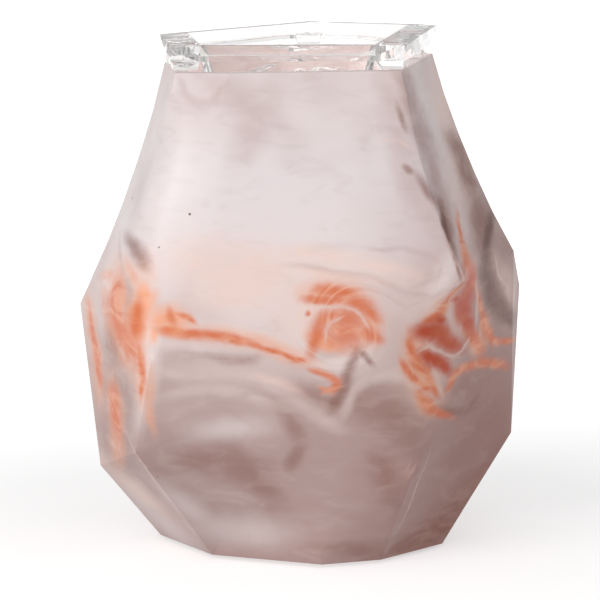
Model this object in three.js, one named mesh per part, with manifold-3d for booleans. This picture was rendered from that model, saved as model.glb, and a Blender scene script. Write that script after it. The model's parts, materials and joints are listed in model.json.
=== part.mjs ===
// Wax warmer: a faceted, marbled glass shade stands over a small lamp, and a clear
// pressed-glass dish of wax rests on its rim, warmed by the lamp below.
// Units are millimetres, +Z is up and the front faces -Y.

import * as THREE from 'three';
import { mergeVertices } from 'three/addons/utils/BufferGeometryUtils.js';
import Module from 'manifold-3d';

const wasm = await Module();
wasm.setup();

// Glass shade
const SHADE_BOTTOM = 1.2;
const RIM_HEIGHT = 157;
const RIM_WALL = 4.5;
const BODY_WALL = 4.5;
const NECK_DRAW = 2.3;
const NECK_STEPS = 5;
const NECK_FULLNESS = 0.7;

// Corner columns of the shade, seen from above and running anticlockwise from the left.
// Each one climbs from the foot, over the fold and the belt, to the rim: [x, y] or [x, y, z].
// Columns that meet in one corner repeat it.
const COLUMNS = [
  { foot: [-45.5, -2.5], fold: [-64.5, -10, 26], belt: [-71, -3.5, 78], rim: [-43, -3.5] },
  { foot: [-28, -30.5], fold: [-51, -57, 40], belt: [-56.5, -53, 102], rim: [-38.5, -44.5] },
  { foot: [-28, -30.5], fold: [-51, -57, 40], belt: [-46, -62, 69], rim: [-22, -46] },
  { foot: [7, -44], fold: [-2, -60, 44], belt: [6, -58.5, 81], rim: [4, -42.6] },
  { foot: [25.7, -37.3], fold: [40.7, -54, 47.5], belt: [51.5, -50, 93], rim: [31.3, -38.6] },
  { foot: [46, -15], fold: [69.3, 9, 33], belt: [69.5, 8, 93.5], rim: [43, 16] },
  { foot: [38, 22], fold: [69, 36, 40], belt: [73, 33, 78], rim: [43, 16] },
  { foot: [8, 37], fold: [32, 60, 48], belt: [34, 63, 92], rim: [23, 38] },
  { foot: [-20, 37], fold: [-27, 62, 30], belt: [-25, 66, 74], rim: [-8, 40] },
  { foot: [-41, 20], fold: [-59, 34, 46], belt: [-62, 33, 97], rim: [-43, -3.5] },
];

// Foot of the shade: a rebate takes the base plate, and a ledge above it takes the clips
const FOOT_WALL = 7;
const REBATE_WALL = 3.5;
const REBATE_DEPTH = 3.4;
const LEDGE_THICKNESS = 2.4;
const LEDGE_SHELF = 4.6;
const CORD_NOTCH_EDGE = 6;
const CORD_NOTCH_WIDTH = 10;
const CORD_NOTCH_HEIGHT = 10;

// Wax dish: outline seen from above, with thick grips along its left and right sides
const DISH_OUTLINE = [[-40, -41], [32.5, -38], [45, 31], [3, 44], [-45, -2]];
const DISH_GRIP = 9.5;
const DISH_SIDE = 2.6;
const DISH_FLANGE = 5;
const DISH_WEB = 1.6;
const DISH_FOOT = 2.7;
const DISH_FOOT_LENGTH = 14;
const DISH_FOOT_CHAMFER = 0.8;
const DISH_FOOT_MARGIN = 0.2;
const LEFT_REAR_FOOT = 4;
const RIGHT_REAR_FOOT = 38;
const BACK_FOOT_WIDTH = 9;
const BACK_FOOT_SETBACK = 4.5;
const BOWL_DEPTH = 12.5;
const BOWL_CLEARANCE = 2;
const BOWL_WALL = 2.6;
const BOWL_TAPER = 3.5;

// Base plate, gasket and feet
const PLATE_THICKNESS = 1.6;
const PLATE_RECESS = 0.6;
const VENTS_PER_SIDE = 5;
const VENT_ANGLE = 22.5;
const VENT_WIDTH = 3.2;
const VENT_LENGTH = 8;
const VENT_CIRCLE = 17.5;
const GASKET_WIDTH = 2;
const GASKET_SQUEEZE = 0.1;
const RUBBER_FOOT_RADIUS = 4.5;
const RUBBER_FOOT_CHAMFER = 0.4;
const RUBBER_FOOT_CIRCLE = 27.2;
const RUBBER_FOOT_ANGLES = [30, 130, 235, 300];
const RUBBER_STEM_RADIUS = 2;
const RUBBER_BEAD_RADIUS = 2.9;
const RUBBER_BEAD_HEIGHT = 1.6;

// Spring clips that hold the base plate up against the ledge
const CLIP_EDGES = [0, 3, 5];
const CLIP_WIDTH = 8;
const CLIP_LEAF = 0.8;
const CLIP_TAB = 8;
const CLIP_HOOK = 2.6;
const CLIP_LIP = 1.2;
const CLIP_RIVET_OFFSET = 4.6;
const RIVET_RADIUS = 1.3;
const RIVET_HEAD_RADIUS = 2.3;
const RIVET_HEAD_HEIGHT = 0.9;

// Lamp stand on the base plate
const LAMP_X = 0;
const LAMP_Y = -2;
const BRACKET_RISE = 21;
const BRACKET_SHEET = 1.5;
const BRACKET_TOP_LENGTH = 22;
const BRACKET_SPREAD = 5;
const BRACKET_TAB = 7;
const BRACKET_WIDTH = 14;
const SCREW_RADIUS = 1.5;
const SCREW_HEAD_RADIUS = 2.8;
const SCREW_HEAD_HEIGHT = 1.7;
const SCREW_TAIL = 1.2;
const SCREW_CHAMFER = 0.4;
const NIPPLE_RADIUS = 4.9;
const NIPPLE_BORE = 3.4;
const NIPPLE_TAIL = 5.5;
const NIPPLE_GRIP = 6;
const NUT_FLATS = 14;
const NUT_HEIGHT = 2.6;

// Lampholder
const HOLDER_WALL = 2.4;
const HOLDER_HUB_RADIUS = 8.3;
const HOLDER_HUB_HEIGHT = 10;
const HOLDER_SHOULDER = 2;
const HOLDER_HEIGHT = 34;
const HOLDER_FLOOR = 3;
const HOLDER_WIRE_HOLE = 1.8;
const SHELL_WALL = 0.5;
const SHELL_HEIGHT = 17;
const SHELL_FLOOR_BORE = 4.2;
const CONTACT_WIDTH = 4;
const CONTACT_REACH = 2.6;
const CONTACT_LEAF = 0.4;
const CONTACT_RISE = 3.4;
const TERMINAL_SCREW_RADIUS = 1.4;
const TERMINAL_HEAD_RADIUS = 2.2;
const TERMINAL_HEAD_HEIGHT = 1.4;
const TERMINAL_SCREW_LENGTH = 2.6;

// Lamp
const GLOBE_RADIUS = 25;
const GLOBE_WALL = 0.8;
const GLOBE_NECK_RADIUS = 6.2;
const GLOBE_JOIN_ANGLE = 60;
const GLOBE_NECK_PULL = 0.5;
const GLOBE_STEPS = 9;
const GLOBE_TAIL = 9;
const LAMP_LENGTH = 76;
const CAP_RADIUS = 5.9;
const CAP_WALL = 0.6;
const CAP_HEIGHT = 15;
const CAP_THREAD = 0.35;
const CAP_TURNS = 4;
const CAP_STEPS_PER_TURN = 5;
const CAP_THREAD_RUNOUT = 1.2;
const CAP_INSULATOR = 2;
const CAP_CONTACT_RADIUS = 2.1;
const CAP_CONTACT_HEIGHT = 1.1;
const STEM_HEIGHT = 22;
const STEM_RADIUS = 1.7;
const STEM_FLARE = 2;
const STEM_TAPER = 4;
const LEAD_RADIUS = 0.4;
const LEAD_ROOT = 1;
const LEAD_SPREAD = 9;
const LEAD_RISE = 17;
const FILAMENT_RADIUS = 0.5;
const FILAMENT_SAG = 2;

// Cord inlet
const GROMMET_BORE = 6.4;
const GROMMET_FLANGE = 1.6;
const GROMMET_RIM = 1.5;
const GROMMET_LIP = 1;
const GROMMET_BEND = 2;

// Running clearances
const SEAT_GAP = 0.3;
const FIT = 0.4;
const HOLE_FIT = 0.25;
const THREAD_FIT = 0.3;
const CUT_OVERSHOOT = 1;

// Flat top of a domed head, as a share of the head's radius
const HEAD_CROWN = 0.65;

// Sides of round pieces, and of holes and arches
const LARGE_ROUND = 36;
const ROUND = 24;
const SMALL_ROUND = 16;
const WIRE_SIDES = 6;
const WIRE_STEPS = 12;

// Corners closer than this are one, and sides that turn less than this run straight on
const WELD_DISTANCE = 1e-4;
const STRAIGHT_ON = 1e-6;

// Heights that follow from the sizes above
const LEDGE_BOTTOM = SHADE_BOTTOM + REBATE_DEPTH;
const LEDGE_TOP = LEDGE_BOTTOM + LEDGE_THICKNESS;
const PLATE_BOTTOM = SHADE_BOTTOM + PLATE_RECESS;
const PLATE_TOP = PLATE_BOTTOM + PLATE_THICKNESS;
const FLANGE_BOTTOM = RIM_HEIGHT + SEAT_GAP + DISH_FOOT;
const DISH_TOP = FLANGE_BOTTOM + DISH_FLANGE;
const BRACKET_BOTTOM = PLATE_TOP + BRACKET_RISE;
const BRACKET_TOP = BRACKET_BOTTOM + BRACKET_SHEET;
const HOLDER_BOTTOM = BRACKET_TOP + NUT_HEIGHT + 2 * SEAT_GAP;
const CAVITY_FLOOR = HOLDER_BOTTOM + HOLDER_HUB_HEIGHT + HOLDER_FLOOR;
const SHELL_BORE = CAP_RADIUS + THREAD_FIT;
const HOLDER_BORE = SHELL_BORE + SHELL_WALL + FIT;
const HOLDER_RADIUS = HOLDER_BORE + HOLDER_WALL;
const TAB_BOTTOM = PLATE_TOP + SEAT_GAP;
const LAMP_BOTTOM = CAVITY_FLOOR + CONTACT_RISE + CONTACT_LEAF + SEAT_GAP;
const CAP_BOTTOM = LAMP_BOTTOM + CAP_CONTACT_HEIGHT + CAP_INSULATOR;
const CAP_TOP = CAP_BOTTOM + CAP_HEIGHT;
const CAP_BORE = CAP_RADIUS - CAP_THREAD - CAP_WALL;
const GLOBE_CENTRE = LAMP_BOTTOM + LAMP_LENGTH - GLOBE_RADIUS;
const GLOBE_END = CAP_TOP - GLOBE_TAIL;
const STEM_TOP = GLOBE_END + STEM_HEIGHT;
const TERMINAL_HEIGHT = HOLDER_BOTTOM + HOLDER_HUB_HEIGHT / 2;

// Meshes: shared corners, no collapsed triangles and faces that point outwards
function signedVolume(geometry) {
  const p = geometry.attributes.position;
  const index = geometry.index;
  const a = new THREE.Vector3();
  const b = new THREE.Vector3();
  const c = new THREE.Vector3();
  let volume = 0;
  for (let i = 0; i < index.count; i += 3) {
    a.fromBufferAttribute(p, index.getX(i));
    b.fromBufferAttribute(p, index.getX(i + 1));
    c.fromBufferAttribute(p, index.getX(i + 2));
    volume += a.dot(b.cross(c)) / 6;
  }
  return volume;
}

function weld(geometry) {
  geometry.deleteAttribute('normal');
  geometry.deleteAttribute('uv');
  const merged = mergeVertices(geometry, WELD_DISTANCE);
  const corners = merged.index.array;
  const kept = [];
  for (let i = 0; i < corners.length; i += 3) {
    const [a, b, c] = corners.slice(i, i + 3);
    if (a !== b && b !== c && c !== a) kept.push(a, b, c);
  }
  merged.setIndex(kept);
  if (signedVolume(merged) < 0) merged.setIndex(kept.reverse());
  return merged;
}

function toSolid(geometry) {
  const mesh = weld(geometry);
  const vertProperties = new Float32Array(mesh.attributes.position.array);
  const triVerts = new Uint32Array(mesh.index.array);
  return new wasm.Manifold(new wasm.Mesh({ numProp: 3, vertProperties, triVerts }));
}

function toGeometry(solid) {
  const { vertProperties, triVerts } = solid.getMesh();
  const geometry = new THREE.BufferGeometry();
  geometry.setAttribute('position', new THREE.BufferAttribute(vertProperties, 3));
  geometry.setIndex(new THREE.BufferAttribute(triVerts, 1));
  return geometry;
}

const join = (first, ...rest) =>
  toGeometry(rest.reduce((solid, next) => solid.add(toSolid(next)), toSolid(first)));
const cut = (first, ...tools) =>
  toGeometry(tools.reduce((solid, tool) => solid.subtract(toSolid(tool)), toSolid(first)));
const common = (first, second) => toGeometry(toSolid(first).intersect(toSolid(second)));

// Plan outlines are lists of [x, y] corners that run anticlockwise
const samePoint = (a, b) => a[0] === b[0] && a[1] === b[1];
const distinct = (points) =>
  points.filter((point, i) => !samePoint(point, points[(i + points.length - 1) % points.length]));
const alongEdge = (a, b) => {
  const length = Math.hypot(b[0] - a[0], b[1] - a[1]);
  return [(b[0] - a[0]) / length, (b[1] - a[1]) / length];
};

// Moves every side of an outline inwards; sides may have a distance each
function inset(points, distance) {
  const outline = distinct(points);
  const count = outline.length;
  const by = (i) => (Array.isArray(distance) ? distance[i] : distance);
  const moved = outline.map((corner, i) => {
    const last = (i + count - 1) % count;
    const u = alongEdge(outline[last], corner);
    const v = alongEdge(corner, outline[(i + 1) % count]);
    const turn = u[0] * v[1] - u[1] * v[0];
    if (Math.abs(turn) < STRAIGHT_ON) return [corner[0] - v[1] * by(i), corner[1] + v[0] * by(i)];
    const s = (by(last) * (u[0] * v[0] + u[1] * v[1]) - by(i)) / turn;
    return [corner[0] - u[1] * by(last) + u[0] * s, corner[1] + u[0] * by(last) + u[1] * s];
  });
  return points.map((point) => moved[outline.findIndex((corner) => samePoint(corner, point))]);
}

const shapeOf = (points) => new THREE.Shape(points.map(([x, y]) => new THREE.Vector2(x, y)));
const atHeight = (points, z) => points.map(([x, y]) => [x, y, z]);

function prism(shape, bottom, top, sides = LARGE_ROUND) {
  const depth = top - bottom;
  const curveSegments = sides / 2;
  const geometry = new THREE.ExtrudeGeometry(shape, { depth, bevelEnabled: false, curveSegments });
  return geometry.translate(0, 0, bottom);
}

// Skin over a stack of rings with equally many corners.
// A closed stack joins its last ring to its first, and an open one gets two flat ends.
function loft(rings, closed) {
  const corners = rings[0].length;
  const positions = rings.flat(2);
  const index = [];
  const last = closed ? rings.length : rings.length - 1;
  for (let ring = 0; ring < last; ring += 1) {
    const next = (ring + 1) % rings.length;
    for (let i = 0; i < corners; i += 1) {
      const j = (i + 1) % corners;
      const a = ring * corners + i;
      const b = ring * corners + j;
      const c = next * corners + j;
      const d = next * corners + i;
      index.push(a, b, c, a, c, d);
    }
  }
  if (!closed) {
    const flat = rings[0].map(([x, y]) => new THREE.Vector2(x, y));
    const top = (rings.length - 1) * corners;
    for (const [a, b, c] of THREE.ShapeUtils.triangulateShape(flat, [])) {
      index.push(a, c, b, top + a, top + b, top + c);
    }
  }
  const geometry = new THREE.BufferGeometry();
  geometry.setAttribute('position', new THREE.Float32BufferAttribute(positions, 3));
  geometry.setIndex(index);
  return geometry;
}

const frustum = (lower, bottom, upper, top) =>
  loft([atHeight(lower, bottom), atHeight(upper, top)], false);

// Turned pieces stand on the Z axis; a profile lists [radius, height]
function turned(profile, sides = LARGE_ROUND) {
  const points = profile.map(([radius, height]) => new THREE.Vector2(radius, height));
  return new THREE.LatheGeometry(points, sides).rotateX(Math.PI / 2);
}

const cylinder = (radius, bottom, top, sides = ROUND) =>
  turned([[0, bottom], [radius, bottom], [radius, top], [0, top]], sides);

function wire(route, radius) {
  const section = new THREE.Shape().absarc(0, 0, radius, 0, 2 * Math.PI);
  const settings = { steps: WIRE_STEPS, curveSegments: WIRE_SIDES / 2, extrudePath: route };
  return new THREE.ExtrudeGeometry(section, settings);
}

// Strip of sheet metal bent along a line in the X-Z plane and centred on Y = 0
function bentStrip(outline, width) {
  const shape = shapeOf(outline);
  const geometry = new THREE.ExtrudeGeometry(shape, { depth: width, bevelEnabled: false });
  return geometry.rotateX(Math.PI / 2).translate(0, width / 2, 0);
}

// Foot of the line drawn square from the lamp's axis to one side of an outline
function squareTo(points, edge) {
  const outline = distinct(points);
  const start = outline[edge];
  const along = alongEdge(start, outline[(edge + 1) % outline.length]);
  const outward = [along[1], -along[0]];
  const distance = (start[0] - LAMP_X) * outward[0] + (start[1] - LAMP_Y) * outward[1];
  return { distance, angle: Math.atan2(outward[1], outward[0]) };
}

// Finishes: marbled glass, clear glass, enamelled steel, zinc, brass, rubber, phenolic
const finish = (color, roughness, metalness, more = {}) => () =>
  new THREE.MeshStandardMaterial({ color, roughness, metalness, ...more });
const marbledGlass = finish(0xdfc9c6, 0.32, 0);
const clearGlass = finish(0xf4f2f0, 0.06, 0, { transparent: true, opacity: 0.35 });
const enamelledSteel = finish(0xd8d4d0, 0.45, 0.2);
const zincSteel = finish(0xb9bcc0, 0.35, 0.9);
const springSteel = finish(0x9aa0a6, 0.3, 0.95);
const brass = finish(0xc8a24c, 0.3, 0.95);
const nickel = finish(0xc9c6bd, 0.28, 0.95);
const blackPhenolic = finish(0x1c1b1a, 0.5, 0);
const siliconeRubber = finish(0xcfc9c4, 0.8, 0);
const blackRubber = finish(0x242323, 0.85, 0);
const tungsten = finish(0x6c6a68, 0.5, 0.8);

const warmer = new THREE.Group();
const lamp = new THREE.Group();
warmer.add(lamp);
lamp.position.set(LAMP_X, LAMP_Y, 0);

function addPiece(parent, name, geometry, material) {
  const mesh = new THREE.Mesh(geometry, material());
  mesh.name = name;
  parent.add(mesh);
  return mesh;
}

// Outlines of the shade's rim, mouth, foot and openings
const rimOutline = COLUMNS.map((column) => column.rim);
const mouthOutline = inset(rimOutline, RIM_WALL);
const footOutline = COLUMNS.map((column) => column.foot);
const rebateOutline = inset(footOutline, REBATE_WALL);
const ledgeOutline = inset(footOutline, FOOT_WALL);
const shelfOutline = inset(footOutline, FOOT_WALL - LEDGE_SHELF);

// The wall draws in between belt and rim, as blown glass does under its neck
function neckRing(step) {
  const rise = step / NECK_STEPS;
  const draw = NECK_DRAW * Math.sin(Math.PI * rise) ** NECK_FULLNESS;
  return COLUMNS.map(({ belt, rim }) => {
    const x = belt[0] + (rim[0] - belt[0]) * rise;
    const y = belt[1] + (rim[1] - belt[1]) * rise;
    const z = belt[2] + (RIM_HEIGHT - belt[2]) * rise;
    const inward = 1 - draw / Math.hypot(x, y);
    return [x * inward, y * inward, z];
  });
}

function innerRing(ring, wall) {
  const plan = inset(ring.map(([x, y]) => [x, y]), wall);
  return plan.map(([x, y], i) => [x, y, ring[i][2]]);
}

// Arch-shaped bar through the foot wall, square to one side of the shade's foot
function notchBar(width, height, bottom, inner, outer) {
  const { angle } = squareTo(footOutline, CORD_NOTCH_EDGE);
  const radius = width / 2;
  const shoulder = bottom + height - radius;
  const arch = new THREE.Shape();
  arch.moveTo(-radius, bottom);
  arch.lineTo(radius, bottom);
  arch.lineTo(radius, shoulder);
  arch.absarc(0, shoulder, radius, 0, Math.PI, false);
  const bar = prism(arch, inner, outer, ROUND).rotateX(Math.PI / 2).rotateZ(angle + Math.PI / 2);
  return bar.translate(LAMP_X, LAMP_Y, 0);
}

function makeShade() {
  const foot = atHeight(footOutline, SHADE_BOTTOM);
  const fold = COLUMNS.map((column) => column.fold);
  const neck = Array.from({ length: NECK_STEPS }, (unused, step) => neckRing(step));
  const rim = atHeight(rimOutline, RIM_HEIGHT);
  const inside = [...neck].reverse().map((ring) => innerRing(ring, BODY_WALL));
  const rings = [
    foot,
    fold,
    ...neck,
    rim,
    atHeight(mouthOutline, RIM_HEIGHT),
    ...inside,
    innerRing(fold, BODY_WALL),
    atHeight(shelfOutline, LEDGE_TOP),
    atHeight(ledgeOutline, LEDGE_TOP),
    atHeight(ledgeOutline, LEDGE_BOTTOM),
    atHeight(rebateOutline, LEDGE_BOTTOM),
    atHeight(rebateOutline, SHADE_BOTTOM),
  ];
  const { distance } = squareTo(footOutline, CORD_NOTCH_EDGE);
  const reach = FOOT_WALL + REBATE_WALL;
  const bottom = SHADE_BOTTOM - CUT_OVERSHOOT;
  const height = CORD_NOTCH_HEIGHT + CUT_OVERSHOOT;
  const notch = notchBar(CORD_NOTCH_WIDTH, height, bottom, distance - reach, distance + reach);
  return cut(loft(rings, true), notch);
}

// Short tapered foot under the dish's side, a distance from its starting corner
function gripFoot(start, end, from) {
  const to = from + DISH_FOOT_LENGTH;
  const along = alongEdge(start, end);
  const inward = [-along[1], along[0]];
  const place = (a, b) => [
    start[0] + along[0] * a + inward[0] * b,
    start[1] + along[1] * a + inward[1] * b,
  ];
  const near = DISH_FOOT_MARGIN;
  const far = DISH_GRIP - DISH_FOOT_MARGIN;
  const outline = [place(from, near), place(to, near), place(to, far), place(from, far)];
  const sole = inset(outline, DISH_FOOT_CHAMFER);
  return frustum(sole, RIM_HEIGHT + SEAT_GAP, outline, FLANGE_BOTTOM + DISH_WEB / 2);
}

// Foot behind the front of the dish's rear corner
function backFoot([x, y]) {
  const half = BACK_FOOT_WIDTH / 2;
  const back = y - BACK_FOOT_SETBACK;
  const front = back - BACK_FOOT_WIDTH;
  const outline = [[x - half, front], [x + half, front], [x + half, back], [x - half, back]];
  const sole = inset(outline, DISH_FOOT_CHAMFER);
  return frustum(sole, RIM_HEIGHT + SEAT_GAP, outline, FLANGE_BOTTOM + DISH_WEB / 2);
}

// Tapered block bounded by the shade's mouth and by the dish's well
function bowlBlock(wellOutline, wall, bottom, top) {
  const inMouth = inset(mouthOutline, BOWL_CLEARANCE + wall);
  const inWell = inset(wellOutline, wall);
  const draft = (outline) => inset(distinct(outline), BOWL_TAPER);
  const round = frustum(draft(inMouth), bottom, distinct(inMouth), top);
  const square = frustum(draft(inWell), bottom, inWell, top);
  return common(round, square);
}

function makeDish() {
  const sides = [DISH_SIDE, DISH_GRIP, DISH_SIDE, DISH_SIDE, DISH_GRIP];
  const wellOutline = inset(DISH_OUTLINE, sides);
  const flange = prism(shapeOf(DISH_OUTLINE), FLANGE_BOTTOM, DISH_TOP);
  const webTop = FLANGE_BOTTOM + DISH_WEB;
  const well = prism(shapeOf(wellOutline), webTop, DISH_TOP + CUT_OVERSHOOT);
  const bowlBottom = FLANGE_BOTTOM - BOWL_DEPTH;
  const bowl = bowlBlock(wellOutline, 0, bowlBottom, webTop);
  const hollow = bowlBlock(wellOutline, BOWL_WALL, bowlBottom + BOWL_WALL, webTop + CUT_OVERSHOOT);
  const [frontLeft, frontRight, right, rear, left] = DISH_OUTLINE;
  const leftLength = Math.hypot(frontLeft[0] - left[0], frontLeft[1] - left[1]);
  const feet = [
    gripFoot(frontRight, right, DISH_FOOT_MARGIN),
    gripFoot(frontRight, right, RIGHT_REAR_FOOT),
    gripFoot(left, frontLeft, LEFT_REAR_FOOT),
    gripFoot(left, frontLeft, leftLength - DISH_FOOT_MARGIN - DISH_FOOT_LENGTH),
    backFoot(rear),
  ];
  return cut(join(flange, bowl, ...feet), well, hollow);
}

const hole = (x, y, radius) => new THREE.Path().absarc(x, y, radius, 0, 2 * Math.PI, true);
const onCircle = (radius, degrees) => {
  const angle = THREE.MathUtils.degToRad(degrees);
  return [radius * Math.cos(angle), radius * Math.sin(angle)];
};

// Clearance for the cord inlet in the plate and the gasket
function inletNotch(bottom, top) {
  const { distance } = squareTo(footOutline, CORD_NOTCH_EDGE);
  const inner = distance - FOOT_WALL - GROMMET_FLANGE - GROMMET_BEND;
  const width = CORD_NOTCH_WIDTH + 2 * FIT;
  return notchBar(width, top - bottom + width, bottom - CUT_OVERSHOOT, inner, distance);
}

function ventSlot(degrees) {
  const reach = (VENT_LENGTH - VENT_WIDTH) / 2;
  const slot = new THREE.Shape();
  slot.absarc(reach, 0, VENT_WIDTH / 2, -Math.PI / 2, Math.PI / 2, false);
  slot.absarc(-reach, 0, VENT_WIDTH / 2, Math.PI / 2, 1.5 * Math.PI, false);
  const bar = prism(slot, PLATE_BOTTOM - CUT_OVERSHOOT, PLATE_TOP + CUT_OVERSHOOT, SMALL_ROUND);
  bar.translate(VENT_CIRCLE, 0, 0);
  return bar.rotateZ(THREE.MathUtils.degToRad(degrees)).translate(LAMP_X, LAMP_Y, 0);
}

const clipRiser = (edge) => squareTo(ledgeOutline, edge).distance - FIT;
const rivetPlace = (edge) => {
  const { angle } = squareTo(ledgeOutline, edge);
  const radius = clipRiser(edge) - CLIP_RIVET_OFFSET;
  return [LAMP_X + radius * Math.cos(angle), LAMP_Y + radius * Math.sin(angle)];
};
const screwPlace = BRACKET_TOP_LENGTH / 2 + BRACKET_SPREAD + BRACKET_TAB / 2;

function makeBasePlate() {
  const shape = shapeOf(distinct(inset(rebateOutline, FIT)));
  for (const degrees of RUBBER_FOOT_ANGLES) {
    const [x, y] = onCircle(RUBBER_FOOT_CIRCLE, degrees);
    shape.holes.push(hole(LAMP_X + x, LAMP_Y + y, RUBBER_STEM_RADIUS + HOLE_FIT));
  }
  for (const edge of CLIP_EDGES) {
    shape.holes.push(hole(...rivetPlace(edge), RIVET_RADIUS + HOLE_FIT));
  }
  for (const side of [-1, 1]) {
    shape.holes.push(hole(LAMP_X + side * screwPlace, LAMP_Y, SCREW_RADIUS + HOLE_FIT));
  }
  const middle = (VENTS_PER_SIDE - 1) / 2;
  const vents = [90, 270].flatMap((side) =>
    Array.from({ length: VENTS_PER_SIDE }, (unused, i) => ventSlot(side + (i - middle) * VENT_ANGLE)));
  const plate = prism(shape, PLATE_BOTTOM, PLATE_TOP, SMALL_ROUND);
  return cut(plate, inletNotch(PLATE_BOTTOM, PLATE_TOP), ...vents);
}

function makeGasket() {
  const outline = distinct(inset(rebateOutline, FIT));
  const bottom = PLATE_TOP + GASKET_SQUEEZE;
  const top = LEDGE_BOTTOM - GASKET_SQUEEZE;
  const inner = prism(shapeOf(inset(outline, GASKET_WIDTH)), bottom - CUT_OVERSHOOT, top + CUT_OVERSHOOT);
  return cut(prism(shapeOf(outline), bottom, top), inner, inletNotch(bottom, top));
}

function makeRubberFoot() {
  const bead = PLATE_TOP + SEAT_GAP;
  return turned([
    [0, 0],
    [RUBBER_FOOT_RADIUS - RUBBER_FOOT_CHAMFER, 0],
    [RUBBER_FOOT_RADIUS, RUBBER_FOOT_CHAMFER],
    [RUBBER_FOOT_RADIUS, PLATE_BOTTOM - SEAT_GAP],
    [RUBBER_STEM_RADIUS, PLATE_BOTTOM - SEAT_GAP],
    [RUBBER_STEM_RADIUS, bead],
    [RUBBER_BEAD_RADIUS, bead],
    [RUBBER_STEM_RADIUS, bead + RUBBER_BEAD_HEIGHT],
    [0, bead + RUBBER_BEAD_HEIGHT],
  ], ROUND);
}

// Spring clip in its own frame: X points from the lamp's axis to the glass
function makeClip(edge) {
  const riser = clipRiser(edge);
  const ledge = riser + FIT;
  const hook = LEDGE_TOP + SEAT_GAP;
  const start = riser - CLIP_TAB;
  const end = ledge + CLIP_HOOK;
  const strip = bentStrip([
    [start, TAB_BOTTOM],
    [riser, TAB_BOTTOM],
    [riser, hook],
    [end, hook],
    [end + CLIP_LIP, hook + CLIP_LIP],
    [end + CLIP_LIP - CLIP_LEAF, hook + CLIP_LIP + CLIP_LEAF / 2],
    [end - CLIP_LEAF / 2, hook + CLIP_LEAF],
    [riser - CLIP_LEAF, hook + CLIP_LEAF],
    [riser - CLIP_LEAF, TAB_BOTTOM + CLIP_LEAF],
    [start, TAB_BOTTOM + CLIP_LEAF],
  ], CLIP_WIDTH);
  const bore = cylinder(RIVET_RADIUS + HOLE_FIT, PLATE_BOTTOM, hook, SMALL_ROUND);
  return cut(strip, bore.translate(riser - CLIP_RIVET_OFFSET, 0, 0));
}

function makeRivet() {
  const tail = PLATE_BOTTOM - SEAT_GAP;
  const head = TAB_BOTTOM + CLIP_LEAF + SEAT_GAP;
  const crown = RIVET_HEAD_RADIUS * HEAD_CROWN;
  return turned([
    [0, tail - RIVET_HEAD_HEIGHT],
    [crown, tail - RIVET_HEAD_HEIGHT],
    [RIVET_HEAD_RADIUS, tail],
    [RIVET_RADIUS, tail],
    [RIVET_RADIUS, head],
    [RIVET_HEAD_RADIUS, head],
    [crown, head + RIVET_HEAD_HEIGHT],
    [0, head + RIVET_HEAD_HEIGHT],
  ], SMALL_ROUND);
}

// Hat-shaped bridge that lifts the lampholder off the plate
function makeBracket() {
  const top = BRACKET_TOP_LENGTH / 2;
  const heel = top + BRACKET_SPREAD;
  const end = heel + BRACKET_TAB;
  const tabTop = TAB_BOTTOM + BRACKET_SHEET;
  const under = [
    [-end, TAB_BOTTOM], [-heel + BRACKET_SHEET, TAB_BOTTOM], [-top + BRACKET_SHEET, BRACKET_BOTTOM],
    [top - BRACKET_SHEET, BRACKET_BOTTOM], [heel - BRACKET_SHEET, TAB_BOTTOM], [end, TAB_BOTTOM],
  ];
  const over = [[end, tabTop], [heel, tabTop], [top, BRACKET_TOP], [-top, BRACKET_TOP], [-heel, tabTop],
    [-end, tabTop]];
  const strip = bentStrip([...under, ...over], BRACKET_WIDTH);
  const screwHoles = [-1, 1].map((side) =>
    cylinder(SCREW_RADIUS + HOLE_FIT, PLATE_BOTTOM, tabTop + CUT_OVERSHOOT, SMALL_ROUND)
      .translate(side * screwPlace, 0, 0));
  const bore = cylinder(NIPPLE_RADIUS + HOLE_FIT, BRACKET_BOTTOM - CUT_OVERSHOOT,
    BRACKET_TOP + CUT_OVERSHOOT);
  return cut(strip, bore, ...screwHoles);
}

function makeBracketScrew() {
  const seat = TAB_BOTTOM + BRACKET_SHEET + SEAT_GAP;
  const tail = PLATE_BOTTOM - SCREW_TAIL;
  return turned([
    [0, tail],
    [SCREW_RADIUS - SCREW_CHAMFER, tail],
    [SCREW_RADIUS, tail + SCREW_CHAMFER],
    [SCREW_RADIUS, seat],
    [SCREW_HEAD_RADIUS, seat],
    [SCREW_HEAD_RADIUS, seat + SCREW_HEAD_HEIGHT / 2],
    [SCREW_HEAD_RADIUS * HEAD_CROWN, seat + SCREW_HEAD_HEIGHT],
    [0, seat + SCREW_HEAD_HEIGHT],
  ], SMALL_ROUND);
}

function makeNipple() {
  const bottom = BRACKET_BOTTOM - NIPPLE_TAIL;
  const top = HOLDER_BOTTOM + NIPPLE_GRIP;
  return turned([
    [NIPPLE_BORE, bottom], [NIPPLE_RADIUS, bottom], [NIPPLE_RADIUS, top], [NIPPLE_BORE, top],
    [NIPPLE_BORE, bottom],
  ], ROUND);
}

function makeNut(bottom) {
  const corner = NUT_FLATS / Math.sqrt(3);
  const hexagon = shapeOf(Array.from({ length: 6 }, (unused, i) => onCircle(corner, 60 * i)));
  hexagon.holes.push(hole(0, 0, NIPPLE_RADIUS + THREAD_FIT));
  return prism(hexagon, bottom, bottom + NUT_HEIGHT, ROUND);
}

// Sideways bores in the hub take the two terminal screws
function terminalBore() {
  const reach = TERMINAL_SCREW_LENGTH + SEAT_GAP;
  const bore = cylinder(TERMINAL_SCREW_RADIUS + HOLE_FIT, 0, reach + CUT_OVERSHOOT, SMALL_ROUND);
  bore.rotateX(-Math.PI / 2);
  return bore.translate(0, HOLDER_HUB_RADIUS - reach, TERMINAL_HEIGHT);
}

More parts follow.
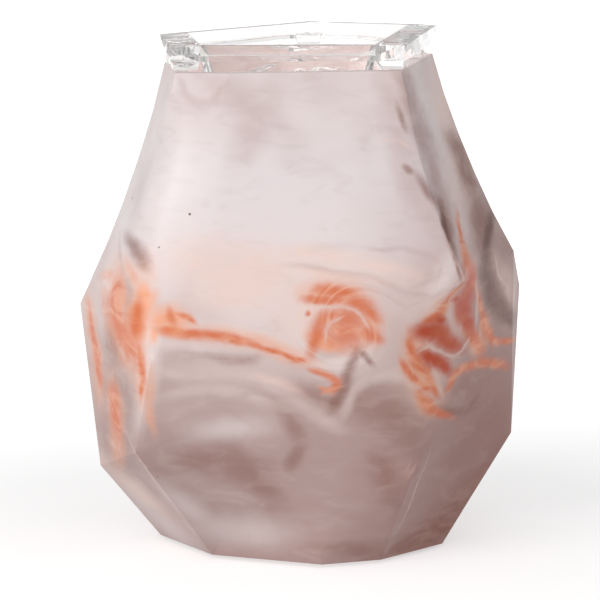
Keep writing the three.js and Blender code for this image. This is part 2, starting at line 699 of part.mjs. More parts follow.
function makeHolder() {
  const socket = NIPPLE_RADIUS + THREAD_FIT;
  const socketTop = HOLDER_BOTTOM + NIPPLE_GRIP + SEAT_GAP;
  const shoulder = HOLDER_BOTTOM + HOLDER_HUB_HEIGHT;
  const top = HOLDER_BOTTOM + HOLDER_HEIGHT;
  const body = turned([
    [socket, HOLDER_BOTTOM],
    [HOLDER_HUB_RADIUS, HOLDER_BOTTOM],
    [HOLDER_HUB_RADIUS, shoulder],
    [HOLDER_RADIUS, shoulder + HOLDER_SHOULDER],
    [HOLDER_RADIUS, top - HOLDER_WALL / 2],
    [HOLDER_RADIUS - HOLDER_WALL / 2, top],
    [HOLDER_BORE, top],
    [HOLDER_BORE, CAVITY_FLOOR],
    [HOLDER_WIRE_HOLE, CAVITY_FLOOR],
    [HOLDER_WIRE_HOLE, socketTop],
    [socket, socketTop],
    [socket, HOLDER_BOTTOM],
  ]);
  return cut(body, terminalBore(), terminalBore().rotateZ(Math.PI));
}

function makeTerminalScrew() {
  const seat = HOLDER_HUB_RADIUS + SEAT_GAP;
  const screw = turned([
    [0, HOLDER_HUB_RADIUS - TERMINAL_SCREW_LENGTH],
    [TERMINAL_SCREW_RADIUS, HOLDER_HUB_RADIUS - TERMINAL_SCREW_LENGTH],
    [TERMINAL_SCREW_RADIUS, seat],
    [TERMINAL_HEAD_RADIUS, seat],
    [TERMINAL_HEAD_RADIUS, seat + TERMINAL_HEAD_HEIGHT / 2],
    [TERMINAL_HEAD_RADIUS * HEAD_CROWN, seat + TERMINAL_HEAD_HEIGHT],
    [0, seat + TERMINAL_HEAD_HEIGHT],
  ], SMALL_ROUND);
  return screw.rotateX(-Math.PI / 2).translate(0, 0, TERMINAL_HEIGHT);
}

function makeShell() {
  const bottom = CAVITY_FLOOR + SEAT_GAP;
  const outer = SHELL_BORE + SHELL_WALL;
  return turned([
    [SHELL_FLOOR_BORE, bottom],
    [outer, bottom],
    [outer, bottom + SHELL_HEIGHT],
    [SHELL_BORE, bottom + SHELL_HEIGHT],
    [SHELL_BORE, bottom + SHELL_WALL],
    [SHELL_FLOOR_BORE, bottom + SHELL_WALL],
    [SHELL_FLOOR_BORE, bottom],
  ]);
}

// Centre contact: a leaf folded back over itself, so that it springs against the cap
function makeContact() {
  const base = CAVITY_FLOOR + SEAT_GAP;
  const tip = CAVITY_FLOOR + CONTACT_RISE;
  const leaf = CONTACT_LEAF;
  const reach = CONTACT_REACH;
  return bentStrip([
    [-reach, base], [reach, base], [reach, base + 2 * leaf], [0, tip + leaf], [-reach / 2, tip + leaf],
    [-reach / 2, tip], [-leaf, tip], [reach - 3 * leaf, base + leaf], [-reach, base + leaf],
  ], CONTACT_WIDTH);
}

// Half outline of the lamp's glass, from its open tail to the crown, drawn in by an amount.
// The neck leaves the cap straight up and runs into the globe along its tangent.
function globeOutline(drawn) {
  const radius = GLOBE_RADIUS - drawn;
  const join = THREE.MathUtils.degToRad(-GLOBE_JOIN_ANGLE);
  const tailRadius = CAP_BORE - FIT - drawn;
  const neck = GLOBE_NECK_RADIUS - drawn;
  const neckHeight = CAP_TOP + SEAT_GAP + drawn;
  const joinX = radius * Math.cos(join);
  const joinZ = GLOBE_CENTRE + radius * Math.sin(join);
  const rise = joinZ - neckHeight;
  const outline = new THREE.Path();
  outline.moveTo(tailRadius, GLOBE_END);
  outline.lineTo(tailRadius, neckHeight);
  outline.lineTo(neck, neckHeight);
  const pull = rise * GLOBE_NECK_PULL;
  const pullX = joinX + pull * Math.sin(join);
  const pullZ = joinZ - pull * Math.cos(join);
  outline.bezierCurveTo(neck, neckHeight + pull, pullX, pullZ, joinX, joinZ);
  outline.absarc(0, GLOBE_CENTRE, radius, join, Math.PI / 2, false);
  const points = outline.getPoints(GLOBE_STEPS).map(({ x, y }) => [Math.max(x, 0), y]);
  points[points.length - 1][0] = 0;
  return points;
}

const makeGlobe = () => turned([...globeOutline(GLOBE_WALL).reverse(), ...globeOutline(0)]);

function makeCap() {
  const steps = CAP_TURNS * CAP_STEPS_PER_TURN;
  const threaded = CAP_HEIGHT - 2 * CAP_THREAD_RUNOUT;
  const thread = Array.from({ length: steps + 1 }, (unused, i) => {
    const turn = (2 * Math.PI * i) / CAP_STEPS_PER_TURN;
    const height = CAP_BOTTOM + CAP_THREAD_RUNOUT + (threaded * i) / steps;
    return [CAP_RADIUS - (CAP_THREAD * (1 + Math.cos(turn))) / 2, height];
  });
  return turned([
    [CAP_BORE, CAP_BOTTOM],
    [CAP_RADIUS - CAP_THREAD, CAP_BOTTOM],
    ...thread,
    [CAP_RADIUS, CAP_TOP],
    [CAP_BORE, CAP_TOP],
    [CAP_BORE, CAP_BOTTOM],
  ], ROUND);
}

function makeCapInsulator() {
  const radius = CAP_BORE - SEAT_GAP;
  const bottom = CAP_BOTTOM - CAP_INSULATOR;
  return turned([
    [0, bottom], [CAP_CONTACT_RADIUS + FIT, bottom], [radius, CAP_BOTTOM - SEAT_GAP],
    [radius, CAP_BOTTOM + CAP_INSULATOR], [0, CAP_BOTTOM + CAP_INSULATOR],
  ], ROUND);
}

function makeCapContact() {
  const top = LAMP_BOTTOM + CAP_CONTACT_HEIGHT - SEAT_GAP;
  return turned([
    [0, LAMP_BOTTOM],
    [CAP_CONTACT_RADIUS * HEAD_CROWN, LAMP_BOTTOM],
    [CAP_CONTACT_RADIUS, (LAMP_BOTTOM + top) / 2],
    [CAP_CONTACT_RADIUS, top],
    [0, top],
  ], SMALL_ROUND);
}

function makeStem() {
  const flare = CAP_BORE - FIT - GLOBE_WALL - SEAT_GAP;
  return turned([
    [0, GLOBE_END],
    [flare, GLOBE_END],
    [flare, GLOBE_END + STEM_FLARE],
    [STEM_RADIUS, GLOBE_END + STEM_FLARE + STEM_TAPER],
    [STEM_RADIUS, STEM_TOP],
    [0, STEM_TOP],
  ], SMALL_ROUND);
}

// Lead wire: straight up out of the stem, then over and up to one end of the filament
function makeLead(side) {
  const foot = STEM_TOP + SEAT_GAP;
  const middle = foot + LEAD_RISE / 2;
  const route = new THREE.CubicBezierCurve3(
    new THREE.Vector3(side * LEAD_ROOT, 0, foot),
    new THREE.Vector3(side * LEAD_ROOT, 0, middle),
    new THREE.Vector3(side * LEAD_SPREAD, 0, middle),
    new THREE.Vector3(side * LEAD_SPREAD, 0, foot + LEAD_RISE),
  );
  return wire(route, LEAD_RADIUS);
}

function makeFilament() {
  const height = STEM_TOP + LEAD_RISE + 2 * SEAT_GAP + FILAMENT_RADIUS;
  const route = new THREE.QuadraticBezierCurve3(
    new THREE.Vector3(-LEAD_SPREAD, 0, height),
    new THREE.Vector3(0, 0, height + FILAMENT_SAG),
    new THREE.Vector3(LEAD_SPREAD, 0, height),
  );
  return wire(route, FILAMENT_RADIUS);
}

function makeGrommet() {
  const { distance, angle } = squareTo(footOutline, CORD_NOTCH_EDGE);
  const inside = distance - FOOT_WALL - SEAT_GAP;
  const bottom = SHADE_BOTTOM + SEAT_GAP;
  const height = CORD_NOTCH_HEIGHT - 2 * SEAT_GAP;
  const width = CORD_NOTCH_WIDTH - 2 * SEAT_GAP;
  const sleeve = notchBar(width, height, bottom, inside - GROMMET_FLANGE, distance + GROMMET_LIP);
  const flangeBottom = PLATE_TOP + SEAT_GAP;
  const flangeHeight = bottom + height + GROMMET_RIM - flangeBottom;
  const flange = notchBar(width + 2 * GROMMET_RIM, flangeHeight, flangeBottom,
    inside - GROMMET_FLANGE, inside);
  const bore = cylinder(GROMMET_BORE / 2, 0, distance + FOOT_WALL);
  bore.rotateY(Math.PI / 2).rotateZ(angle);
  bore.translate(LAMP_X, LAMP_Y, bottom + height - width / 2);
  return cut(join(sleeve, flange), bore);
}

addPiece(warmer, 'shade', makeShade(), marbledGlass);
addPiece(warmer, 'wax_dish', makeDish(), clearGlass);
addPiece(warmer, 'base_plate', makeBasePlate(), enamelledSteel);
addPiece(warmer, 'base_gasket', makeGasket(), siliconeRubber);
addPiece(warmer, 'cord_grommet', makeGrommet(), blackRubber);

RUBBER_FOOT_ANGLES.forEach((degrees, i) => {
  const [x, y] = onCircle(RUBBER_FOOT_CIRCLE, degrees);
  addPiece(lamp, `rubber_foot_${i + 1}`, makeRubberFoot(), blackRubber).position.set(x, y, 0);
});

CLIP_EDGES.forEach((edge, i) => {
  const [x, y] = rivetPlace(edge);
  const clip = addPiece(lamp, `spring_clip_${i + 1}`, makeClip(edge), springSteel);
  clip.rotation.z = squareTo(ledgeOutline, edge).angle;
  addPiece(warmer, `clip_rivet_${i + 1}`, makeRivet(), zincSteel).position.set(x, y, 0);
});

addPiece(lamp, 'holder_bracket', makeBracket(), zincSteel);
[-1, 1].forEach((side, i) => {
  const screw = addPiece(lamp, `bracket_screw_${i + 1}`, makeBracketScrew(), zincSteel);
  screw.position.x = side * screwPlace;
});
addPiece(lamp, 'threaded_nipple', makeNipple(), zincSteel);
addPiece(lamp, 'nipple_nut_lower', makeNut(BRACKET_BOTTOM - SEAT_GAP - NUT_HEIGHT), zincSteel);
addPiece(lamp, 'nipple_nut_upper', makeNut(BRACKET_TOP + SEAT_GAP), zincSteel);
addPiece(lamp, 'lampholder_body', makeHolder(), blackPhenolic);
addPiece(lamp, 'lampholder_shell', makeShell(), brass);
addPiece(lamp, 'centre_contact', makeContact(), brass);
addPiece(lamp, 'terminal_screw_1', makeTerminalScrew(), brass);
addPiece(lamp, 'terminal_screw_2', makeTerminalScrew(), brass).rotation.z = Math.PI;

const bulb = new THREE.Group();
lamp.add(bulb);
addPiece(bulb, 'bulb_glass', makeGlobe(), clearGlass);
addPiece(bulb, 'bulb_cap', makeCap(), nickel);
addPiece(bulb, 'cap_insulator', makeCapInsulator(), blackPhenolic);
addPiece(bulb, 'cap_contact', makeCapContact(), nickel);
addPiece(bulb, 'bulb_stem', makeStem(), clearGlass);
addPiece(bulb, 'lead_wire_left', makeLead(-1), nickel);
addPiece(bulb, 'lead_wire_right', makeLead(1), nickel);
addPiece(bulb, 'filament', makeFilament(), tungsten);

// The origin is the middle of the shade's footprint, on the surface that it stands on
const reach = (axis) => COLUMNS.flatMap(({ belt, fold }) => [belt[axis], fold[axis]]);
const middleOf = (values) => (Math.min(...values) + Math.max(...values)) / 2;
warmer.position.set(-middleOf(reach(0)), -middleOf(reach(1)), 0);

export default warmer;
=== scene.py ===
# %% [markdown]
# # A marbled glass wax warmer, step by step
# The real object is a faceted glass shade that stands over a small lamp. A clear pressed-glass
# dish rests on its rim and holds the wax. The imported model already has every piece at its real
# size, so this lesson adds what it lacks: soft moulded edges, swirled glass, polish and light.

# %% Load the model
import json
import math

import bpy
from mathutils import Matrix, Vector
from mathutils.bvhtree import BVHTree
from mathutils.geometry import intersect_point_line

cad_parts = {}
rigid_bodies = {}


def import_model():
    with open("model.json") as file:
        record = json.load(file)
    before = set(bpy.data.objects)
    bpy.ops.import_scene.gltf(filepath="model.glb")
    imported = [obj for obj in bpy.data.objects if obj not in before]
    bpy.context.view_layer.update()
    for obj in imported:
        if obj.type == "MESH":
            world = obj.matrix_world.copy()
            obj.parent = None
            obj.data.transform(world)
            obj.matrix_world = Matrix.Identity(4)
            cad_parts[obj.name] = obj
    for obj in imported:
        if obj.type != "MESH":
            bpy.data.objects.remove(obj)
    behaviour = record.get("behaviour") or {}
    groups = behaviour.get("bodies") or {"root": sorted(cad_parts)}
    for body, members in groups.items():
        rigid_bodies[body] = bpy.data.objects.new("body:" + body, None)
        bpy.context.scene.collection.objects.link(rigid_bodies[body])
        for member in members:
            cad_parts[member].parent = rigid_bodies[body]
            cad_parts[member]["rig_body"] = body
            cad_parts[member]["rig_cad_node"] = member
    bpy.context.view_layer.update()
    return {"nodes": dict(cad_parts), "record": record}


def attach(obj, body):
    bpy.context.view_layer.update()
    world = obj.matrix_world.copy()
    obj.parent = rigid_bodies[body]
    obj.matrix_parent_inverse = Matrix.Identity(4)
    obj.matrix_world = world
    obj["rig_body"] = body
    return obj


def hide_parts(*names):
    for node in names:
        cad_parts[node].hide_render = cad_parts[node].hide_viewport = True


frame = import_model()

MM = 0.001
nodes = frame["nodes"]
print("pieces in the model:", len(nodes))

# %% [markdown]
# ## The camera
# The photograph was taken from a little above the belt with a long lens, so upright edges stay
# nearly parallel. A camera could be set by eye, but here its place follows from four values: the
# point that it aims at, its distance, its height as an angle, and the lens.

# %% Place the camera
AIM = Vector((-1, -2, 78.55)) * MM
CAMERA_DISTANCE = 1200 * MM
CAMERA_ELEVATION = math.radians(9.5)
LENS = 222.3

back = Vector((0, -math.cos(CAMERA_ELEVATION), math.sin(CAMERA_ELEVATION)))
camera_data = bpy.data.cameras.new("camera")
camera_data.lens = LENS
camera_data.clip_start = 0.05
camera = bpy.data.objects.new("camera", camera_data)
camera.location = AIM + back * CAMERA_DISTANCE
camera.rotation_euler = (math.pi / 2 - CAMERA_ELEVATION, 0, 0)
bpy.context.scene.collection.objects.link(camera)
bpy.context.scene.camera = camera
bpy.context.scene.view_settings.view_transform = "Standard"
print("camera at", [round(v, 3) for v in camera.location])

# %% [markdown]
# ## Helpers for selecting and shaping
# Every operator acts on what is selected, so each step first clears the selection and then picks
# one object. These two helpers do that, and the third gives a node tree its nodes in one line.

# %% Selection and node helpers
def only(piece):
    """Selects one object and makes it active."""
    bpy.ops.object.select_all(action="DESELECT")
    piece.select_set(True)
    bpy.context.view_layer.objects.active = piece


def apply_all(piece):
    """Applies every modifier of a piece, from the top down."""
    only(piece)
    for modifier in list(piece.modifiers):
        bpy.ops.object.modifier_apply(modifier=modifier.name)


def add(tree, kind, inputs=None, **settings):
    """Adds a node, sets its properties and then its inputs: a value, or a socket to link."""
    made = tree.nodes.new(kind)
    for name, value in settings.items():
        setattr(made, name, value)
    for name, value in (inputs or {}).items():
        if isinstance(value, bpy.types.NodeSocket):
            tree.links.new(value, made.inputs[name])
        else:
            made.inputs[name].default_value = value
    return made


def paint(red, green, blue):
    """A colour as a picture shows it, 0 to 255, turned into the linear values of a shader."""
    def linear(value):
        share = value / 255
        return share / 12.92 if share <= 0.04045 else ((share + 0.055) / 1.055) ** 2.4
    return (linear(red), linear(green), linear(blue), 1)


print("helpers ready")

# %% [markdown]
# ## Studio floor and backdrop
# The photograph has a white ground with only a soft contact shadow. More light would bleach the
# glass, so the white comes from the floor's own material: it glows a little, but only for rays
# from the camera, from reflections and through glass. The glow is weakest round the foot, so
# that the contact shadow still shows, and grows with the distance, where the lamps reach less.

# %% Make the floor
FLOOR_SIZE = 6
NEAR_GLOW = 0.42
FAR_GLOW = 0.85
GLOW_FROM = 120 * MM
GLOW_TO = 500 * MM


def seen_by_eye(tree):
    """1 for rays that end in the picture: straight ones, reflections and refractions."""
    path = add(tree, "ShaderNodeLightPath")
    glossy = add(tree, "ShaderNodeMath", {0: path.outputs["Is Camera Ray"],
                                          1: path.outputs["Is Glossy Ray"]}, operation="MAXIMUM")
    seen = add(tree, "ShaderNodeMath", {0: glossy.outputs[0],
                                        1: path.outputs["Is Transmission Ray"]}, operation="MAXIMUM")
    return seen.outputs[0]


bpy.ops.object.select_all(action="DESELECT")
bpy.ops.mesh.primitive_plane_add(size=FLOOR_SIZE)
floor = bpy.context.active_object
floor.name = "studio_floor"
floor_paint = bpy.data.materials.new("floor_white")
floor_paint.use_nodes = True
tree = floor_paint.node_tree
shader = tree.nodes["Principled BSDF"]
shader.inputs["Base Color"].default_value = (0.8, 0.8, 0.8, 1)
shader.inputs["Roughness"].default_value = 0.9
shader.inputs["Specular IOR Level"].default_value = 0.1
shader.inputs["Emission Color"].default_value = (1, 1, 1, 1)
place = add(tree, "ShaderNodeTexCoord").outputs["Object"]
away = add(tree, "ShaderNodeVectorMath", {0: place}, operation="LENGTH").outputs["Value"]
level = add(tree, "ShaderNodeMapRange", {"Value": away, "From Min": GLOW_FROM, "From Max": GLOW_TO,
                                         "To Min": NEAR_GLOW, "To Max": FAR_GLOW}).outputs[0]
glow = add(tree, "ShaderNodeMath", {0: seen_by_eye(tree), 1: level}, operation="MULTIPLY")
tree.links.new(glow.outputs[0], shader.inputs["Emission Strength"])
floor.data.materials.append(floor_paint)
print("floor laid")

# %% [markdown]
# ## Light
# The photograph's light is broad and soft, and a little stronger from the left. Two large
# softboxes give that, and a pale sky fills the shadows. The sky is white where the camera looks
# straight at it and dimmer as a lamp, so that the backdrop stays clean and the glass isn't bleached.

# %% Light the set
KEY_PLACE = Vector((-0.84, -0.84, 0.6))
KEY_SIZE = (0.7, 0.9)
KEY_POWER = 9.5
FILL_PLACE = Vector((0.95, -0.75, 0.6))
FILL_SIZE = (0.8, 0.8)
FILL_POWER = 4.2
SKY_STRENGTH = 0.42


def softbox(name, place, size, power):
    """A square lamp that looks at the middle of the warmer."""
    data = bpy.data.lights.new(name, "AREA")
    data.shape = "RECTANGLE"
    data.size, data.size_y = size
    data.energy = power
    lamp = bpy.data.objects.new(name, data)
    lamp.location = place
    lamp.rotation_euler = (AIM - lamp.location).to_track_quat("-Z", "Y").to_euler()
    bpy.context.scene.collection.objects.link(lamp)
    return lamp


key = softbox("key_softbox", KEY_PLACE, KEY_SIZE, KEY_POWER)
fill = softbox("right_softbox", FILL_PLACE, FILL_SIZE, FILL_POWER)

world = bpy.data.worlds.new("white_studio")
bpy.context.scene.world = world
world.use_nodes = True
tree = world.node_tree
background = tree.nodes["Background"]
background.inputs["Color"].default_value = (1, 1, 1, 1)
path = add(tree, "ShaderNodeLightPath")
direct = add(tree, "ShaderNodeMath", {0: path.outputs["Is Camera Ray"],
                                      1: path.outputs["Is Transmission Ray"]}, operation="MAXIMUM")
strength = add(tree, "ShaderNodeMapRange", {"Value": direct.outputs[0],
                                            "To Min": SKY_STRENGTH, "To Max": 1.0})
tree.links.new(strength.outputs[0], background.inputs["Strength"])
print("lamps:", key.name, fill.name)

# %% [markdown]
# ## Marbled glass: carrying the pattern along
# Marbled glass is made by stirring a few coloured melts into a pale one, so its colours run in
# streaks that fold and curl. A plain noise texture looks like clouds, not like stirring. The way
# used here is to push the texture's coordinates about before a colour is looked up: a slow noise
# bends them, and a whirl turns them round a point. This first group does the bending.

# %% Node group for a drifting flow
def new_group(name, inputs, outputs):
    """A shader node group with the given sockets; each is a name, a kind and a start value."""
    group = bpy.data.node_groups.new(name, "ShaderNodeTree")
    for label, kind, start in inputs:
        socket = group.interface.new_socket(label, in_out="INPUT", socket_type=kind)
        if start is not None:
            socket.default_value = start
    for label, kind in outputs:
        group.interface.new_socket(label, in_out="OUTPUT", socket_type=kind)
    return group, group.nodes.new("NodeGroupInput"), group.nodes.new("NodeGroupOutput")


def use(tree, group, inputs=None):
    """Places a node group in a tree."""
    made = tree.nodes.new("ShaderNodeGroup")
    made.node_tree = group
    for name, value in (inputs or {}).items():
        if isinstance(value, bpy.types.NodeSocket):
            tree.links.new(value, made.inputs[name])
        else:
            made.inputs[name].default_value = value
    return made


VECTOR, FLOAT, COLOR = "NodeSocketVector", "NodeSocketFloat", "NodeSocketColor"

flow, source, sink = new_group(
    "flow",
    [("Place", VECTOR, None), ("Fineness", FLOAT, 0.02), ("Reach", FLOAT, 10.0), ("Detail", FLOAT, 2.0)],
    [("Place", VECTOR)])
noise = add(flow, "ShaderNodeTexNoise", {
    "Vector": source.outputs["Place"], "Scale": source.outputs["Fineness"],
    "Detail": source.outputs["Detail"], "Roughness": 0.45})
centred = add(flow, "ShaderNodeVectorMath", {0: noise.outputs["Color"], 1: (0.5, 0.5, 0.5)},
              operation="SUBTRACT")
drift = add(flow, "ShaderNodeVectorMath", {0: centred.outputs[0]}, operation="SCALE")
flow.links.new(source.outputs["Reach"], drift.inputs["Scale"])
moved = add(flow, "ShaderNodeVectorMath", {0: source.outputs["Place"], 1: drift.outputs[0]}, operation="ADD")
flow.links.new(moved.outputs[0], sink.inputs["Place"])
print("group:", flow.name)

# %% [markdown]
# A whirl turns the coordinates about an axis that stands square to the glass. The turn is
# strongest at its centre and fades to nothing at its radius, so the pattern rolls up there.

# %% Node group for a whirl
whirl, source, sink = new_group(
    "whirl",
    [("Place", VECTOR, None), ("Centre", VECTOR, None), ("Axis", VECTOR, (0, 1, 0)),
     ("Radius", FLOAT, 15.0), ("Turn", FLOAT, 3.0)],
    [("Place", VECTOR)])
apart = add(whirl, "ShaderNodeVectorMath", {0: source.outputs["Place"], 1: source.outputs["Centre"]},
            operation="DISTANCE")
fade = add(whirl, "ShaderNodeMapRange", {
    "Value": apart.outputs["Value"], "From Min": 0.0, "From Max": source.outputs["Radius"],
    "To Min": 1.0, "To Max": 0.0}, interpolation_type="SMOOTHSTEP")
angle = add(whirl, "ShaderNodeMath", {0: fade.outputs[0], 1: source.outputs["Turn"]}, operation="MULTIPLY")
turned = add(whirl, "ShaderNodeVectorRotate", {
    "Vector": source.outputs["Place"], "Center": source.outputs["Centre"],
    "Axis": source.outputs["Axis"], "Angle": angle.outputs[0]}, rotation_type="AXIS_ANGLE")
whirl.links.new(turned.outputs[0], sink.inputs["Place"])
print("group:", whirl.name)

# %% [markdown]
# ## Marbled glass: where the colours lie
# The melts lie in level layers that stirring has disturbed: milky white above and mauve brown
# below. The layers are a colour ramp over height. The orange melt round the belt and all streaks,
# curls and spots lie on top of them. A redder brown over the right side and lower down is painted
# shade, and some strokes are painted light instead of melt: painted reflections, highlights and
# light in pale colours on the left, low down and along the foot edges, and painted shade in browns
# along the right crease and over the right foot. They could be painted as a picture, but a shape
# that is drawn in a few strokes stays clear at any size. A stroke is a route of points, each across
# and down the picture with half the stroke's width, all in picture points, and each stroke has its
# name.

# %% Layers of the melt and whirls
# Height in mm and colour
LAYERS = [
    (0, (186, 158, 154)),
    (22, (184, 157, 153)),
    (40, (184, 157, 153)),
    (54, (194, 169, 165)),
    (66, (208, 187, 183)),
    (78, (224, 207, 204)),
    (92, (228, 211, 208)),
    (108, (229, 217, 217)),
    (126, (228, 217, 218)),
    (157, (222, 208, 206)),
]

# Centre, axis, radius in mm and turn in radians
WHIRLS = [
    ((14, -58, 79), (0, 1, 0), 20, 3.4),
    ((42, -46, 78), (0.4, 1, 0), 20, -2.6),
    ((-52, -30, 92), (-1, 0.7, 0), 16, 2.2),
    ((62, 30, 70), (1, 0.4, 0), 26, 2.6),
    ((10, 62, 74), (0, 1, 0), 24, -3.0),
    ((-44, 48, 60), (-1, 1, 0), 22, 2.6),
]
print("layers:", len(LAYERS), "whirls:", len(WHIRLS))

# %% Strokes of the pale and brown melts, with painted light and painted shade
MIST_AND_PAINTED_LIGHT = {
    # Strokes named painted are painted light: reflections and a fold highlight on the left, light low down
    "upper left painted reflection": [(196, 172, 11), (184, 198, 19), (176, 226, 15), (168, 270, 8)],
    "left shoulder painted reflection": [(158, 196, 10), (150, 210, 12)],
    "left facet painted reflection": [(150, 120, 8), (138, 160, 9), (120, 210, 8), (104, 246, 6)],
    "left fold painted highlight": [(151, 330, 5), (149, 360, 7), (146, 390, 6), (140, 420, 4)],
    "white hook": [(453, 260, 6), (441, 284, 7)],
    "low painted light": [(214, 528, 9), (236, 530, 14), (262, 532, 10)],
    "low left painted light": [(128, 486, 10), (152, 512, 12), (180, 536, 9)],
    "left of the foot": [(176, 498, 7), (204, 520, 9)],
    "belly light": [(212, 432, 7), (244, 430, 8)],
}
BLUSH = {
    "warm patch": [(205, 262, 15), (240, 268, 17), (272, 270, 13)],
    "warm patch low": [(225, 292, 12), (262, 287, 11)],
    "warm streak": [(285, 253, 5), (320, 256, 7), (362, 263, 6), (402, 273, 4)],
    "warm streak low": [(290, 268, 4), (340, 274, 5), (386, 281, 4)],
    "tail glow": [(228, 331, 5), (262, 342, 5), (292, 352, 5)],
    "under the tail": [(262, 378, 3), (285, 386, 3.4), (300, 395, 3)],
    "rose glow": [(322, 318, 20), (345, 322, 24)],
    "left glow": [(120, 302, 15), (130, 342, 13)],
    "right glow": [(428, 345, 22), (424, 382, 16)],
    "right edge glow": [(506, 290, 7), (508, 310, 6)],
    "left foot glow": [(112, 470, 8), (150, 500, 10)],
    "right shoulder": [(440, 90, 9), (452, 140, 8), (466, 190, 8)],
}
MAUVE_AND_PAINTED_SHADE = {
    "left column": [(113, 342, 8), (115, 372, 14), (117, 410, 15), (117, 450, 11)],
    "grey wedge": [(127, 296, 3), (128, 308, 6), (132, 320, 3.5)],
    "under the blob": [(216, 359, 2.6), (234, 362, 3.4), (250, 360, 3)],
    "low left warm": [(176, 464, 6), (204, 462, 7), (232, 464, 10), (254, 474, 12), (268, 494, 8)],
    "low left core": [(240, 462, 6), (256, 476, 7), (268, 500, 4)],
    "small brown": [(291, 467, 6), (298, 456, 4)],
    "dome": [(366, 404, 12), (386, 410, 18), (402, 426, 13)],
    "below the hook": [(308, 394, 8), (324, 401, 8)],
    "right brown": [(383, 468, 11), (389, 486, 8)],
    "right dome": [(462, 392, 11), (476, 384, 8)],
    "right facet": [(464, 156, 6), (473, 200, 8), (477, 236, 6)],
    # Dark mauve along the right crease: painted shade
    "right crease painted shade": [(404, 84, 6), (416, 116, 6), (428, 152, 5), (440, 190, 4.4), (452, 232, 4)],
    "right facet low": [(452, 462, 9), (466, 448, 11), (480, 428, 8)],
    # Darker mauve over the lower right foot: painted shade
    "right foot painted shade": [(380, 558, 8), (414, 540, 12), (444, 514, 12), (468, 482, 10)],
    "low fold": [(272, 404, 4), (288, 416, 6), (296, 434, 7)],
    "front foot": [(332, 552, 7), (380, 549, 7)],
}
SMOKE = {
    "upper cloud": [(236, 98, 9), (262, 114, 14), (250, 138, 10)],
    "right cloud": [(388, 92, 8), (396, 124, 9), (404, 160, 9), (414, 196, 8), (432, 226, 6)],
    "grey layer": [(166, 352, 5), (200, 356, 5), (236, 357, 4)],
    "grey field": [(180, 394, 8), (228, 390, 10), (262, 404, 9)],
    "grey over the hook": [(318, 357, 3.4), (338, 354, 3.4)],
    "foot mottle": [(176, 470, 6), (210, 492, 7), (252, 500, 6)],
}
VEIL = {
    "pale layer": [(158, 372, 3), (190, 374, 3.4), (225, 376, 3.4), (258, 382, 3.4), (285, 391, 3)],
    "upper pale layer": [(165, 345, 2), (185, 348, 2.2), (220, 350, 2)],
    "low fold": [(296, 404, 3), (312, 412, 4), (330, 424, 5)],
    "low bow": [(176, 394, 3), (212, 388, 3.6), (246, 394, 3.6), (270, 404, 3)],
    "dome arc": [
        (346, 410, 3), (356, 390, 3.6), (370, 379, 3.8), (388, 375, 3.8), (404, 379, 3.4), (420, 393, 3)],
    "right haze": [(448, 168, 6), (462, 214, 7), (472, 250, 5)],
    "band haze": [(498, 262, 3), (504, 282, 4), (506, 300, 3)],
}
THREAD = {
    "arch": [(170, 424, 2.4), (177, 408, 3), (200, 402, 3.4), (224, 406, 3.2), (242, 420, 2.6)],
    "ring mark": [(181, 84, 2.4), (186, 96, 2.8), (197, 104, 2.8), (211, 104, 2.8), (221, 92, 2.6)],
    "thread over the rose": [
        (300, 267, 1.8), (340, 273, 2.4), (374, 279, 2.4), (402, 291, 2.4), (430, 297, 2), (448, 290, 1.8)],
    "upper thread": [
        (378, 249, 1.4), (402, 249, 1.6), (430, 256, 2), (444, 265, 2), (440, 277, 2), (418, 286, 1.6)],
    "stirred low": [(236, 398, 2.4), (262, 391, 2.8), (281, 400, 2.8), (298, 420, 3)],
    "second fold": [(196, 384, 2), (232, 381, 2.2), (270, 386, 2), (300, 398, 2)],
    "fold lines": [(246, 388, 2), (262, 386, 2.6), (276, 395, 2.6)],
    "far left thread": [(117, 250, 1.2), (120, 270, 1.6), (124, 284, 2.2), (128, 296, 2.6)],
    "shoulder lines": [(455, 128, 3), (466, 176, 3), (478, 214, 3)],
}
UMBER_AND_PAINTED_SHADE = {
    "kidney": [(130, 247, 4), (135, 251, 6.4), (140, 258, 5.4), (142, 264, 3)],
    "left fold shadow": [(112, 341, 5), (114, 350, 5.5)],
    "plume": [
        (357, 353, 3), (352, 362, 3.4), (347, 374, 3.6), (346, 386, 4.2), (340, 397, 4.6), (334, 405, 4)],
    "plume leg": [(358, 352, 2.6), (364, 357, 2.4), (370, 363, 1.8)],
    "dark thread": [(438, 204, 2), (447, 225, 2.8), (452, 242, 2.4), (458, 262, 1.6), (461, 276, 1.1)],
    "thread blotches": [(423, 185, 2.6), (433, 202, 3.6)],
    "small blotch": [(407, 170, 2), (411, 173, 2)],
    "crease blotches": [(400, 112, 2), (405, 124, 2.4)],
    "dark band": [
        (482, 214, 7), (486, 238, 10), (487, 262, 11), (489, 284, 11), (496, 302, 10), (506, 316, 8)],
    "right shoulder": [(452, 142, 4), (462, 158, 6), (470, 182, 5)],
    "low dark": [(446, 416, 3.6), (458, 417, 4.6), (470, 412, 4), (475, 404, 2.6)],
    # Dark umber over the lower right foot: painted shade
    "right foot": [(408, 549, 7), (436, 536, 8), (452, 516, 7)],
}
INK = {
    "band top": [(490, 222, 3.4), (488, 250, 3.6), (486, 276, 4)],
    "band core": [(486, 276, 4), (491, 291, 5.6), (498, 304, 6.2), (506, 315, 6), (513, 321, 4)],
    "thread core": [(443, 220, 1.4), (449, 236, 1.8)],
}
print("brown and pale strokes:", sum(map(len, (MIST_AND_PAINTED_LIGHT, BLUSH, MAUVE_AND_PAINTED_SHADE, SMOKE, VEIL, THREAD, UMBER_AND_PAINTED_SHADE, INK))))

